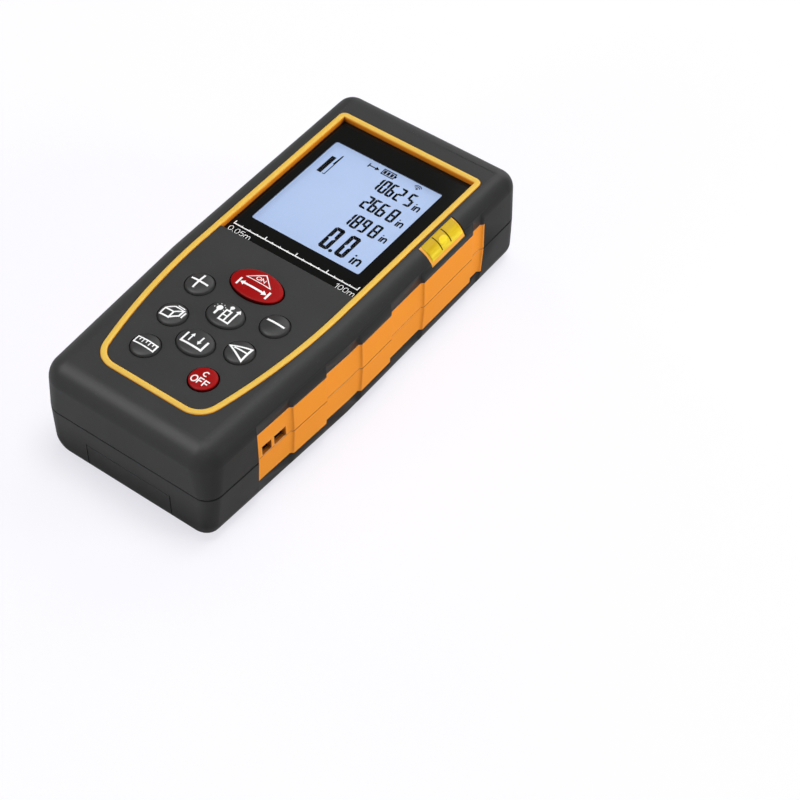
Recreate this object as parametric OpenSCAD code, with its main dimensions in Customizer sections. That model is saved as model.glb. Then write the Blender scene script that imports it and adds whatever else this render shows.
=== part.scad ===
// Hand-held laser distance meter lying on its back, face up.
// Millimetres. X runs across the width, Y along the length toward the laser end, Z up from the back.
// The origin is on the back, under the middle of the body.

/* [Overall size] */
// Length of the body from the battery end to the laser end
body_length = 112.6; // [108:0.2:136]
// Width of the body at its widest, across the grips
body_width = 52; // [50:0.5:62.4]
// Height of the keypad face above the back
body_height = 28.1; // [27.6:0.1:34]
// Height of the line where the two case halves meet
parting_height = 14.2; // [14.2:0.1:15]
// How far each side draws in at the battery end
near_taper = 2.1; // [0:0.1:3]
// How far each side draws in at the laser end
far_taper = 0.5; // [0:0.1:2]

/* [Edges] */
// Radius of the shoulder between the sides and the face
shoulder_radius = 5.6; // [4.5:0.1:6.5]
// Radius of the same shoulder at the laser end
far_shoulder_radius = 4.5; // [3.5:0.1:5.5]
// Radius of the upright corners seen from above
corner_radius = 4.1; // [3:0.1:5.6]
// Radius of the lower edges along the sides
lower_side_radius = 5.2; // [3.5:0.1:5.5]
// Radius of the lower edges across the ends
lower_end_radius = 3.2; // [1.5:0.1:3.5]
// How far the lower side edges stand in from the parting line
lower_inset = 0.6; // [0:0.1:1]
// Depth of the bevel that makes the parting line visible
seam_bevel = 0.25; // [0.1:0.05:0.4]

/* [Walls] */
// Thickness of the face plate
face_wall = 2.6; // [2.4:0.1:3]
// Thickness of the back
back_wall = 1.8; // [1.8:0.1:2.2]
// Thickness of the end walls
end_wall = 2.2; // [1.8:0.1:2.6]
// Thickness of the side walls, grip included
side_wall = 3.6; // [3.4:0.1:4.2]

/* [Grips] */
// Lowest edge of the grips above the back
grip_low = 6.2; // [5.4:0.1:8]
// Highest edge of the grips above the back
grip_high = 22.2; // [19:0.1:22.4]
// Depth of the pocket that holds each grip
grip_depth = 1.9; // [1.6:0.1:2.1]
// Depth of the finger recesses in the sides
recess_depth = 0.65; // [0.3:0.05:0.9]
// Length of the slope at each end of a recess
recess_slope = 0.55; // [0.3:0.05:1.2]

/* [Lanyard eye] */
// Height of the two eye openings
eye_height = 2.9; // [2:0.1:3.6]
// Length of the eye opening nearest the battery end
eye_near_length = 3; // [2:0.1:3.6]
// Length of the other eye opening
eye_far_length = 3.8; // [2:0.1:3.8]
// Width of the bar between the two openings
eye_bar = 0.9; // [0.7:0.1:1.4]

/* [Face trim] */
// Half width of the trim's centre line beside the display
trim_half_width = 19.9; // [19:0.05:20.1]
// Width of the trim line
trim_width = 1.55; // [0.9:0.05:1.6]
// How far the trim stands proud of the face
trim_rise = 0.3; // [0.1:0.05:0.6]
// Depth of the trim below its own top
trim_depth = 1.6; // [1.2:0.1:1.7]
// Radius of the sweep that draws the trim in beside the keys
trim_sweep = 158; // [120:2:240]
// Radius of the trim's corners below the keys
trim_corner = 5.5; // [3:0.1:8]

/* [Display] */
// Thickness of the display window
window_thick = 1; // [0.8:0.1:1.2]
// Half width of the display panel
panel_half_width = 17.2; // [16:0.1:17.4]
// Thickness of the display panel
panel_thick = 1.6; // [1.2:0.1:1.8]

/* [Keys] */
// Radius of the small round keys
key_radius = 3.3; // [2.8:0.1:3.4]
// Half width of the measuring key
measure_half_width = 6.8; // [5.5:0.1:7]
// Half height of the measuring key
measure_half_height = 4.25; // [3.4:0.05:4.4]
// Half width of the two middle keys
middle_half_width = 4.55; // [3.6:0.05:4.7]
// Half height of the two middle keys
middle_half_height = 3.55; // [2.8:0.05:3.6]
// Gap around each key in the face
key_gap = 0.27; // [0.2:0.01:0.35]
// How far a key can be pressed
key_travel = 0.6; // [0.3:0.05:0.6]
// Height of a key's edge above the face
key_rise = 0.35; // [0.2:0.05:0.6]

/* [Battery bay] */
// Diameter of one battery cell
cell_diameter = 10.5; // [10.1:0.1:10.5]
// Length of one battery cell
cell_length = 44.5; // [43.5:0.1:44.5]
// Half width of the battery door
door_half_width = 12; // [12:0.1:12.6]
// Height of the door's lip on the battery end
door_lip_height = 8.8; // [5:0.1:11]
// Gap around the sliding door
door_gap = 0.15; // [0.1:0.01:0.25]

/* [Spirit vial] */
// Length of the vial block
vial_length = 13; // [9:0.5:15]
// Distance of the vial block from the middle line
vial_offset = 21.5; // [21.4:0.1:22]
// Radius of the liquid chamber in the vial
vial_bore = 1.4; // [0.8:0.1:1.45]
// Distance between the two lines on the vial
vial_line_space = 3.45; // [2.4:0.05:5]

/* [Optics] */
// Height of the optical axis above the back
axis_height = 11.8; // [11:0.1:12.4]
// Radius of the receiving lens
lens_radius = 6; // [5:0.1:6.2]
// Radius of the laser tube
tube_radius = 3.5; // [3.2:0.1:3.8]

/* [Hidden] */
// The piece to draw, or all of them

$fn = 64;
// Gap between pieces that are bonded, pressed or laid together
seat = 0.05;
half_l = body_length / 2;
half_w = body_width / 2;
// Face features keep their place in proportion when the body grows or shrinks
kx = body_width / 52;
ky = body_length / 112.6;
face_z = body_height;
split_z = parting_height;
widest_y = -10 * ky;

// Half width of the body at a place along its length
function side_x(y) = y > widest_y
    ? half_w - far_taper * (y - widest_y) / (half_l - widest_y)
    : half_w - near_taper * (widest_y - y) / (half_l + widest_y);

// Places along the grip, from the battery end to the laser end
grip_near = -40.1 * ky;
grip_far = 41.7 * ky;
recesses = [
    [-40.1 * ky - 0.6, -29.1 * ky],
    [-18.1 * ky, -5.7 * ky],
    [5.2 * ky, 17.8 * ky],
    [36.9 * ky, 41.2 * ky]
];
// Lean of the sides of the rear half below the parting line
rear_lean = atan(lower_inset / (split_z - seam_bevel - lower_side_radius));

// Heights in the stack under the face
face_under = face_z - face_wall;
trim_top = face_z + trim_rise;
trim_floor = trim_top - trim_depth;
window_top = trim_floor;
window_low = window_top - window_thick;
gasket_thick = 0.15;
ledge_top = window_low - gasket_thick;
ledge_low = ledge_top - 1.25;
board_top = face_z - 7.5;
board_low = board_top - 1.2;
panel_top = window_low - 0.3;
panel_low = panel_top - panel_thick;

// Places on the face
trim_upper_y = half_l - 9.3;
trim_lower_y = -half_l + 9.35;
sweep_y = -6 * ky;
window_near_y = 0.15 * ky;
panel_near_y = window_near_y + 2.95;
panel_far_y = trim_upper_y - 3.9;
trim_x = trim_half_width * kx;
panel_x = panel_half_width * kx;

// Each key: across, along, half width, half height
key_at = [
    [0, -10.2 * ky, measure_half_width, measure_half_height],
    [-10.75 * kx, -17.2 * ky, key_radius, key_radius],
    [10.75 * kx, -17.2 * ky, key_radius, key_radius],
    [0, -21.15 * ky, middle_half_width, middle_half_height],
    [-9.52 * kx, -27.8 * ky, key_radius, key_radius],
    [9.52 * kx, -27.8 * ky, key_radius, key_radius],
    [0, -31.3 * ky, middle_half_width, middle_half_height],
    [-8.2 * kx, -38.4 * ky, key_radius, key_radius],
    [8.2 * kx, -38.4 * ky, key_radius, key_radius]
];
dome_height = 0.45;
flange_top = face_under - 0.1;
flange_low = flange_top - 0.8;
stem_low = board_top + dome_height + key_travel + 0.1;
mat_top = board_top + 1.7;

// Battery bay, measured from the battery end
bay_near = -half_l + 4.9;
plate_thick = 0.4;
bay_far = bay_near + cell_length + 6.8;
cell_x = cell_diameter / 2 + 0.25;
cell_z = back_wall + 0.3 + cell_diameter / 2;
bay_half = 2 * cell_x + 0.1;
bay_wall_x = bay_half + 1.8;
bay_roof_low = cell_z + cell_diameter / 2 + 0.3;
bay_roof_top = bay_roof_low + 1.2;
door_far = bay_far - 1.5;
door_lip_thick = 2;
tongue = 0.5;

// Screws that hold the case together
case_screw_at = [
    [17.6 * kx, -half_l + 7.7], [-17.6 * kx, -half_l + 7.7],
    [half_w - 6.8, half_l - 7.8], [-half_w + 6.8, half_l - 7.8]
];
post_radius = 2.6;
head_seat = 4;
// Screws that hold the board
near_boss_x = 14.2 * kx;
near_boss_y = -43 * ky;
boss_radius = 1.9;
boss_room = boss_radius + 0.3;
board_screw_at = [
    [half_w - 7.8, -1.8 * ky], [-half_w + 7.8, -1.8 * ky],
    [near_boss_x, near_boss_y], [-near_boss_x, near_boss_y]
];
board_half = half_w - 6.7;
board_near = -half_l + 11.3;
board_far = half_l - 11.8;

// Optics, measured from the laser end
bezel_front = half_l - 0.6;
chassis_far = half_l - 5.8;
chassis_near = half_l - 26.3;
receive_x = -6;
laser_x = 9.5;
chassis_top = board_low - 0.4;
lens_curve = 11.6;
lens_centre_y = chassis_far - 0.5 - lens_curve;
ring_start = lens_centre_y + sqrt(pow(lens_curve, 2) - pow(lens_radius - 0.7, 2)) + seat;
optics_screw_x = half_w - 8.2;
optics_screw_y = half_l - 15.3;

// Spirit vial
vial_y = half_l - 28.8;
vial_x = vial_offset + half_w - 26;
vial_axis_x = vial_x + 1.7;
vial_axis_z = face_z - 3.1;
vial_low = face_z - 3.9;

// Lanyard eye
eye_low = split_z + 0.15;
eye_start = -38.8 * ky;
eye_bar_start = eye_start + eye_near_length;
eye_end = eye_bar_start + eye_bar + eye_far_length;
eye_floor = side_x(eye_start) - 4.3;

// Points along an arc
function arc(cx, cy, r, a0, a1, n) = [
    for (i = [0:n]) [cx + r * cos(a0 + (a1 - a0) * i / n), cy + r * sin(a0 + (a1 - a0) * i / n)]
];

// Right half of the trim's outline, set off from its centre line
sweep_cx = trim_x - trim_sweep;
low_cy = trim_lower_y + trim_corner;
low_cx = sweep_cx + sqrt(pow(trim_sweep - trim_corner, 2) - pow(low_cy - sweep_y, 2));
low_angle = atan2(low_cy - sweep_y, low_cx - sweep_cx);
function trim_right(o) = concat(
    arc(trim_x - 1, trim_upper_y - 1, 1 + o, 90, 0, 6),
    arc(sweep_cx, sweep_y, trim_sweep + o, 0, low_angle, 16),
    arc(low_cx, low_cy, trim_corner + o, low_angle, -90, 12)
);
function mirrored(p) = [for (i = [len(p) - 1:-1:0]) [-p[i][0], p[i][1]]];

module trim_plan(o) {
    polygon(concat(trim_right(o), mirrored(trim_right(o))));
}

// The display recess inside the trim
module window_plan(o) {
    intersection() {
        trim_plan(-trim_width / 2 - o);
        translate([-100, window_near_y + o])
            square([200, 200]);
    }
}

module key_plan(k, o) {
    rx = k[2] + o;
    ry = k[3] + o;
    if (rx == ry)
        circle(r = rx);
    else
        polygon([for (i = [0:71]) [rx * cos(i * 5), ry * sin(i * 5)]]);
}

// Six upright posts that carry the outline seen from above
module plan_posts(inset, z) {
    for (s = [-1, 1])
        for (y = [half_l - corner_radius, widest_y, corner_radius - half_l])
            translate([s * (side_x(y) - corner_radius), y, z])
                cylinder(r = corner_radius - inset, h = 0.01, $fn = 48);
}

// Outside of the front half
module front_form() {
    hull() {
        plan_posts(seam_bevel, split_z);
        plan_posts(0, split_z + seam_bevel);
        for (s = [-1, 1]) {
            translate([s * (side_x(half_l - far_shoulder_radius) - far_shoulder_radius),
                       half_l - far_shoulder_radius, face_z - far_shoulder_radius])
                sphere(r = far_shoulder_radius, $fn = 48);
            translate([s * (half_w - shoulder_radius), widest_y, face_z - shoulder_radius])
                sphere(r = shoulder_radius, $fn = 48);
            translate([s * (side_x(shoulder_radius - half_l) - shoulder_radius),
                       shoulder_radius - half_l, face_z - shoulder_radius])
                sphere(r = shoulder_radius, $fn = 48);
        }
    }
}

// A disc standing across the body, rounded at its rim
module lower_disc() {
    rotate([90, 0, 0])
        rotate_extrude($fn = 48)
            intersection() {
                translate([lower_side_radius - lower_end_radius, 0])
                    circle(r = lower_end_radius, $fn = 32);
                translate([0, -10])
                    square([20, 20]);
            }
}

// Outside of the rear half
module rear_form() {
    hull() {
        plan_posts(seam_bevel, split_z - 0.01);
        plan_posts(0, split_z - seam_bevel);
        for (s = [-1, 1])
            for (y = [half_l - lower_end_radius, widest_y, lower_end_radius - half_l])
                translate([s * (side_x(y) - lower_inset - lower_side_radius), y, lower_side_radius])
                    lower_disc();
    }
}

// Inside outline of the case, set in from the sides
module inside_plan(inset, end) {
    right = [
        [side_x(half_l - end) - inset, half_l - end],
        [half_w - inset, widest_y],
        [side_x(end - half_l) - inset, end - half_l]
    ];
    polygon(concat(right, mirrored(right)));
}

// Pocket for the right grip
module grip_block(o) {
    translate([0, 0, grip_low + o])
        linear_extrude(grip_high - grip_low - 2 * o)
            polygon([
                [40, grip_near + o],
                [side_x(grip_near) - grip_depth + o, grip_near + o],
                [half_w - grip_depth + o, widest_y],
                [side_x(grip_far) - grip_depth + o, grip_far - o],
                [40, grip_far - o]
            ]);
}

// Finger recesses along the right side, which run up the case as well as the grip
module side_recesses() {
    for (r = recesses) {
        a = r[0];
        b = r[1];
        translate([0, 0, grip_low - 4])
            linear_extrude(40)
                polygon([
                    [side_x(a) + 3 * recess_depth, a - 3 * recess_slope],
                    [side_x(a + recess_slope) - recess_depth, a + recess_slope],
                    [(a < widest_y && b > widest_y ? half_w : side_x((a + b) / 2)) - recess_depth,
                     a < widest_y && b > widest_y ? widest_y : (a + b) / 2],
                    [side_x(b - recess_slope) - recess_depth, b - recess_slope],
                    [side_x(b) + 3 * recess_depth, b + 3 * recess_slope]
                ]);
    }
}

// The same recesses on the rear half, leaning in with its sides so that they keep their depth
module lower_recesses() {
    translate([half_w, 0, split_z])
        rotate([0, rear_lean, 0])
            translate([-half_w, 0, -split_z])
                side_recesses();
}

// The two openings of the lanyard eye, and the channel that joins them behind the bar
module eye_openings() {
    translate([eye_floor + 1.6, eye_start, eye_low])
        cube([20, eye_near_length, eye_height]);
    translate([eye_floor + 1.6, eye_bar_start + eye_bar, eye_low])
        cube([20, eye_far_length, eye_height]);
    translate([eye_floor, eye_start, eye_low])
        cube([1.7, eye_end - eye_start, eye_height]);
}

// Outside of the vial block, before its chamber is cut
module vial_shape(o) {
    intersection() {
        front_form();
        union() {
            translate([vial_x + o, vial_y - vial_length / 2 + o, vial_low + o])
                cube([12, vial_length - 2 * o, 20]);
            translate([vial_x + o, vial_y - vial_length / 2 + o, vial_low - 1.4 + o])
                cube([3.1 - 2 * o, vial_length - 2 * o, 20]);
        }
    }
}

// Two bands cut into the skin of the vial block
module vial_bands(o) {
    difference() {
        for (s = [-1, 1])
            translate([vial_x + 0.5 - o, vial_y + s * vial_line_space / 2 - 0.2 - o, vial_low + 0.5 - o])
                cube([10, 0.4 + 2 * o, 10]);
        translate([side_x(vial_y) - 4.95, vial_y - 20, face_z - 4.95])
            rotate([-90, 0, 0])
                cylinder(r = 4.7 - o, h = 40, $fn = 360);
    }
}

// Opening in the laser end for the optics bezel
module bezel_plan(o) {
    hull_x = 18 * kx - 3;
    low = 4.4;
    high = 20;
    translate([-hull_x - 3 - o, low + 3])
        square([2 * (hull_x + 3 + o), high - low - 6]);
    translate([-hull_x, low - o])
        square([2 * hull_x, high - low + 2 * o]);
    for (s = [-1, 1])
        for (z = [low + 3, high - 3])
            translate([s * hull_x, z])
                circle(r = 3 + o);
}

module along_y(y0, y1) {
    translate([0, y1, 0])
        rotate([90, 0, 0])
            linear_extrude(y1 - y0)
                children();
}

module post(at, z0, z1, r) {
    translate([at[0], at[1], z0])
        cylinder(r = r, h = z1 - z0);
}

case_grey = [0.2, 0.2, 0.21];
amber = [0.98, 0.72, 0.22];
orange = [0.95, 0.53, 0.15];
key_grey = [0.25, 0.25, 0.26];
key_red = [0.72, 0.08, 0.08];
steel = [0.75, 0.76, 0.78];
board_green = [0.05, 0.32, 0.18];
black = [0.07, 0.07, 0.08];

module front_case() {
    color(case_grey)
        difference() {
            union() {
                difference() {
                    front_form();
                    translate([0, 0, split_z - 1])
                        linear_extrude(face_under - split_z + 1)
                            inside_plan(side_wall, end_wall);
                }
                // Frame under the display
                translate([-trim_x - 0.4, window_near_y - 1.5, ledge_low])
                    cube([2 * trim_x + 0.8, trim_upper_y - window_near_y + 2, face_under - ledge_low + 0.2]);
                for (p = case_screw_at)
                    post(p, split_z, face_under + 0.2, post_radius);
                for (p = board_screw_at)
                    post(p, board_top + seat, face_under + 0.2, boss_radius);
                // Nest under the vial
                translate([vial_x - 1.2, vial_y - vial_length / 2 - 1.2, vial_low - 2.6])
                    cube([4.4, vial_length + 2.4, 4.2]);
                // Block behind the lanyard eye
                translate([eye_floor - 1.2, eye_start - 1.2, split_z])
                    cube([3, eye_end - eye_start + 2.4, eye_height + 1.4]);
            }
            translate([0, 0, trim_floor - seat])
                linear_extrude(10)
                    difference() {
                        trim_plan(trim_width / 2 + seat);
                        trim_plan(-trim_width / 2 - seat);
                    }
            translate([0, 0, ledge_top])
                linear_extrude(10)
                    window_plan(0);
            translate([-panel_x - 0.3, panel_near_y - 0.3, ledge_low - 1])
                cube([2 * panel_x + 0.6, panel_far_y - panel_near_y + 0.6, 5]);
            for (k = key_at)
                translate([k[0], k[1], face_under - 2])
                    linear_extrude(10)
                        key_plan(k, key_gap);
            for (m = [0, 1])
                mirror([m, 0, 0]) {
                    grip_block(0);
                    side_recesses();
                }
            vial_shape(0);
            eye_openings();
            along_y(half_l - end_wall - 1, half_l + 1)
                bezel_plan(seat);
            for (p = case_screw_at)
                post(p, split_z - 1, split_z + 7.3, 1.05);
            for (p = board_screw_at)
                post(p, board_top - 1, board_top + 4.2, 0.95);
        }
}

module rear_case() {
    color(case_grey)
        difference() {
            union() {
                difference() {
                    rear_form();
                    translate([0, 0, 5])
                        linear_extrude(30)
                            inside_plan(side_wall, end_wall);
                    translate([0, 0, back_wall])
                        linear_extrude(30)
                            inside_plan(side_wall + 1.2, end_wall + 0.4);
                }
                // Battery bay
                translate([-bay_wall_x, bay_near - 1.2, 1])
                    cube([2 * bay_wall_x, bay_far - bay_near + 2.4, bay_roof_top - 1]);
                for (p = case_screw_at)
                    post(p, 1, split_z, post_radius);
                for (s = [-1, 1])
                    post([s * optics_screw_x, optics_screw_y], 1, 6, 2.4);
                // Lip that centres the front half
                difference() {
                    translate([0, 0, split_z - 2])
                        linear_extrude(3.2)
                            difference() {
                                inside_plan(side_wall + 0.15, end_wall + 0.15);
                                inside_plan(side_wall + 1.15, end_wall + 1.15);
                            }
                    for (p = case_screw_at)
                        post(p, split_z - 5, split_z + 5, post_radius + 0.3);
                    translate([-half_w, half_l - 6, split_z - 5])
                        cube([body_width, 10, 20]);
                    translate([eye_floor - 1.5, eye_start - 1.5, split_z - 5])
                        cube([10, eye_end - eye_start + 3, 20]);
                }
                // Material that ties the lip to the wall below the parting line
                difference() {
                    translate([0, 0, split_z - 3])
                        linear_extrude(2.9)
                            difference() {
                                inside_plan(side_wall - 0.1, end_wall - 0.1);
                                inside_plan(side_wall + 1.15, end_wall + 1.15);
                            }
                    translate([-half_w, half_l - 6, split_z - 5])
                        cube([body_width, 10, 20]);
                }
            }
            // Room for the two cells
            translate([-bay_half, bay_near, back_wall + 0.2])
                cube([2 * bay_half, bay_far - bay_near, bay_roof_low - back_wall - 0.2]);
            // Opening for the door, its lip and its two side tongues
            translate([-door_half_width - door_gap, -half_l - 1, -1])
                cube([2 * (door_half_width + door_gap), door_far + door_gap + half_l + 1, back_wall + 1.2]);
            translate([-door_half_width - door_gap, -half_l - 1, -1])
                cube([2 * (door_half_width + door_gap), end_wall + 1.4, door_lip_height + door_gap + 1]);
            translate([-door_half_width - tongue - door_gap, -half_l - 1, 0.6 - door_gap])
                cube([2 * (door_half_width + tongue + door_gap), door_far + door_gap + half_l + 1,
                      0.6 + 2 * door_gap]);
            // Slots for the two contact tabs
            for (s = [-1, 1])
                translate([s * cell_x - 0.9, bay_far - plate_thick - 0.15, bay_roof_low - 1])
                    cube([1.8, plate_thick + 0.15, 5]);
            for (m = [0, 1])
                mirror([m, 0, 0]) {
                    grip_block(0);
                    lower_recesses();
                }
            along_y(half_l - end_wall - 1, half_l + 1)
                bezel_plan(seat);
            along_y(half_l - end_wall - 1.7, half_l - end_wall)
                bezel_plan(1.2 + seat);
            for (p = case_screw_at) {
                post(p, -1, head_seat, 2.2);
                post(p, -1, split_z + 1, 1.15);
            }
            for (s = [-1, 1])
                post([s * optics_screw_x, optics_screw_y], 2, 7, 1);
            // Bare shallow field on the back
            translate([-15 * kx, 8 * ky, -1])
                cube([30 * kx, 30 * ky, 1.3]);
        }
}

module face_trim() {
    color(amber)
        translate([0, 0, trim_floor])
            linear_extrude(trim_depth)
                difference() {
                    trim_plan(trim_width / 2);
                    trim_plan(-trim_width / 2);
                }
}

module display_window() {
    color([0.05, 0.05, 0.06])
        translate([0, 0, window_low])
            linear_extrude(window_thick)
                window_plan(0.1);
}

module window_gasket() {
    color(black)
        translate([0, 0, ledge_top])
            linear_extrude(gasket_thick)
                difference() {
                    window_plan(0.15);
                    translate([-panel_x - 0.4, panel_near_y - 0.4])
                        square([2 * panel_x + 0.8, panel_far_y - panel_near_y + 0.8]);
                }
}

module grip_front() {
    difference() {
        intersection() {
            front_form();
            grip_block(seat);
        }
        side_recesses();
    }
}

module grip_rear() {
    difference() {
        intersection() {
            rear_form();
            grip_block(seat);
        }
        lower_recesses();
    }
}

module grip_right_front() {
    color(orange)
        difference() {
            grip_front();
            eye_openings();
        }
}

module grip_right_rear() {
    color(orange)
        grip_rear();
}

module grip_left_front() {
    color(orange)
        mirror([1, 0, 0])
            grip_front();
}

module grip_left_rear() {
    color(orange)
        mirror([1, 0, 0])
            grip_rear();
}

// A key cap with a gently domed top, a flange behind the face and a stem over its snap dome
module key_cap(i, dome, crown) {
    k = key_at[i];
    translate([k[0], k[1], 0]) {
        intersection() {
            translate([0, 0, flange_top - 0.2])
                linear_extrude(20)
                    key_plan(k, 0);
            translate([0, 0, face_z + key_rise + crown - dome])
                sphere(r = dome, $fn = 96);
        }
        translate([0, 0, flange_low])
            linear_extrude(flange_top - flange_low)
                key_plan(k, 0.8);
        translate([0, 0, stem_low])
            cylinder(r = 1.5, h = flange_low - stem_low + 0.2);
    }
}

module key_measure() {
    color(key_red)
        key_cap(0, 38, 0.6);
}

module key_plus() {
    color(key_grey)
        key_cap(1, 14, 0.4);
}

module key_minus() {
    color(key_grey)
        key_cap(2, 14, 0.4);
}

module key_store() {
    color(key_grey)
        key_cap(3, 24, 0.44);
}

module key_volume() {
    color(key_grey)
        key_cap(4, 14, 0.4);
}

module key_triangle() {
    color(key_grey)
        key_cap(5, 14, 0.4);
}

module key_reference() {
    color(key_grey)
        key_cap(6, 24, 0.44);
}

module key_unit() {
    color(key_grey)
        key_cap(7, 14, 0.4);
}

module key_off() {
    color(key_red)
        key_cap(8, 14, 0.4);
}

// Silicone sheet on the board, open over each snap dome
module keypad_mat() {
    color([0.85, 0.86, 0.84])
        translate([0, 0, board_top + seat])
            linear_extrude(mat_top - board_top - seat)
                difference() {
                    translate([-16 * kx, board_near + 1])
                        square([32 * kx, -3.6 * ky - board_near - 1]);
                    for (k = key_at)
                        translate([k[0], k[1]])
                            circle(r = 2.1);
                    // Corners cut away around the two bosses nearest the battery end
                    for (s = [-1, 1])
                        translate([s * (near_boss_x + 10 - boss_room), near_boss_y - 10 + boss_room])
                            square([20, 20], center = true);
                }
}

module snap_domes() {
    color(steel)
        for (k = key_at)
            translate([k[0], k[1], board_top + 0.02]) {
                cylinder(r = 1.8, h = 0.15);
                translate([0, 0, 0.15])
                    cylinder(r1 = 1.6, r2 = 0.7, h = dome_height - 0.15, $fn = 96);
            }
}

module main_board() {
    color(board_green)
        difference() {
            translate([-board_half, board_near, board_low])
                cube([2 * board_half, board_far - board_near, board_top - board_low]);
            for (p = board_screw_at)
                post(p, board_low - 1, board_top + 1, 1.05);
        }
}

module board_chips() {
    color(black) {
        translate([-2 * kx, -24 * ky, board_low - 1.35])
            cube([10, 10, 1.3]);
        translate([-13 * kx, -34 * ky, board_low - 1.05])
            cube([6, 5, 1]);
        translate([9 * kx, -8 * ky, board_low - 1.25])
            cube([7, 7, 1.2]);
        translate([11 * kx, 12 * ky, board_low - 3.05])
            cylinder(r = 2.5, h = 3);
        translate([-15 * kx, -12 * ky, board_low - 1.05])
            cube([4, 6, 1]);
    }
}

module board_screws() {
    color(steel)
        for (p = board_screw_at)
            difference() {
                union() {
                    post(p, board_low - 1.2 - seat, board_low - seat, 1.7);
                    post(p, board_low - 0.5, board_top + 4, 0.9);
                }
                translate([p[0] - 1, p[1] - 0.2, board_low - 2])
                    cube([2, 0.4, 1.3]);
                translate([p[0] - 0.2, p[1] - 1, board_low - 2])
                    cube([0.4, 2, 1.3]);
            }
}

module buzzer() {
    color(black)
        translate([-13 * kx, 12 * ky, board_low - 3.6])
            difference() {
                cylinder(r = 4.5, h = 3.55);
                translate([0, 0, -1])
                    cylinder(r = 0.9, h = 2);
            }
}

module lcd_panel() {
    color([0.66, 0.72, 0.82])
        translate([-panel_x, panel_near_y, panel_low])
            cube([2 * panel_x, panel_far_y - panel_near_y, panel_thick]);
}

module lcd_backlight() {
    color([0.9, 0.92, 0.95])
        translate([-panel_x, panel_near_y + 2.3, board_top + seat])
            cube([2 * panel_x, panel_far_y - panel_near_y - 2.3, panel_low - board_top - 2 * seat]);
}

module lcd_connector() {
    color([0.25, 0.25, 0.3])
        translate([-panel_x + 2.2, panel_near_y + 0.1, board_top + seat])
            cube([2 * panel_x - 4.4, 1.8, panel_low - board_top - 2 * seat]);
}

module vial_block() {
    color([0.93, 0.8, 0.15])
        difference() {
            vial_shape(seat);
            translate([vial_axis_x, vial_y - vial_length / 2 + 0.9, vial_axis_z])
                rotate([-90, 0, 0])
                    cylinder(r = vial_bore, h = vial_length);
            vial_bands(0.02);
        }
}

// The bubble's form: a short rod with round ends
module bubble_form(o) {
    r = vial_bore * 0.7 + o;
    translate([vial_axis_x, vial_y, vial_axis_z + vial_bore * 0.12]) {
        rotate([90, 0, 0])
            cylinder(r = r, h = 1.8, center = true);
        for (s = [-1, 1])
            translate([0, s * 0.9, 0])
                sphere(r = r);
    }
}

module vial_liquid() {
    color([0.85, 0.9, 0.2])
        difference() {
            translate([vial_axis_x, vial_y - vial_length / 2 + 0.95, vial_axis_z])
                rotate([-90, 0, 0])
                    cylinder(r = vial_bore - 0.03, h = vial_length - 2.3);
            bubble_form(0.03);
        }
}

module vial_bubble() {
    color([0.97, 0.97, 0.85])
        bubble_form(0);
}

module vial_lines() {
    color(black)
        intersection() {
            vial_shape(seat);
            vial_bands(0);
        }
}

module vial_plug() {
    color([0.93, 0.8, 0.15])
        translate([vial_axis_x, vial_y + vial_length / 2 - 1.3, vial_axis_z])
            rotate([-90, 0, 0])
                cylinder(r = vial_bore - 0.03, h = 1.2);
}

module optics_bezel() {
    color(black)
        difference() {
            union() {
                along_y(half_l - end_wall - 0.3, bezel_front)
                    bezel_plan(0);
                along_y(half_l - end_wall - 1.6, half_l - end_wall - 0.1)
                    bezel_plan(1.2);
            }
            translate([receive_x, half_l - 6, axis_height])
                rotate([-90, 0, 0])
                    cylinder(r = lens_radius + 0.3, h = 10);
            translate([receive_x, bezel_front - 0.9, axis_height])
                rotate([-90, 0, 0])
                    cylinder(r1 = lens_radius + 0.3, r2 = lens_radius + 1.1, h = 1);
            translate([laser_x, half_l - 6, axis_height])
                rotate([-90, 0, 0])
                    cylinder(r = 2.8, h = 10);
            translate([laser_x, half_l - end_wall - 2, axis_height])
                rotate([-90, 0, 0])
                    cylinder(r = 4.1, h = 1.5);
        }
}

module emitter_window() {
    color([0.6, 0.2, 0.22])
        translate([laser_x, half_l - end_wall - 1.55, axis_height])
            rotate([-90, 0, 0])
                cylinder(r = 4.05, h = 1);
}

module optics_chassis() {
    color([0.3, 0.3, 0.32])
        difference() {
            union() {
                translate([-14.6, chassis_near, back_wall + seat])
                    cube([29.4, chassis_far - chassis_near, chassis_top - back_wall - seat]);
                for (s = [-1, 1])
                    translate([s * (optics_screw_x / 2 + 6) - optics_screw_x / 2 + 4, optics_screw_y - 2.4, 6 + seat])
                        cube([optics_screw_x - 8, 4.8, 2]);
                for (s = [-1, 1])
                    translate([s * optics_screw_x, optics_screw_y, 6 + seat])
                        cylinder(r = 2.4, h = 2);
            }
            for (s = [-1, 1])
                post([s * optics_screw_x, optics_screw_y], 5, 10, 1.1);
            // Receiving path, stepped down toward the detector
            translate([receive_x, chassis_far - 6, axis_height])
                rotate([-90, 0, 0])
                    cylinder(r = lens_radius + 0.06, h = 10);
            translate([receive_x, chassis_near + 6, axis_height])
                rotate([-90, 0, 0])
                    cylinder(r = lens_radius - 0.9, h = 20);
            translate([receive_x, chassis_near + 2, axis_height])
                rotate([-90, 0, 0])
                    cylinder(r = 4, h = 20);
            translate([receive_x, chassis_near - 1, axis_height])
                rotate([-90, 0, 0])
                    cylinder(r = 2.6, h = 20);
            translate([laser_x, chassis_near - 1, axis_height])
                rotate([-90, 0, 0])
                    cylinder(r = tube_radius + 0.06, h = 40);
        }
}

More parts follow.
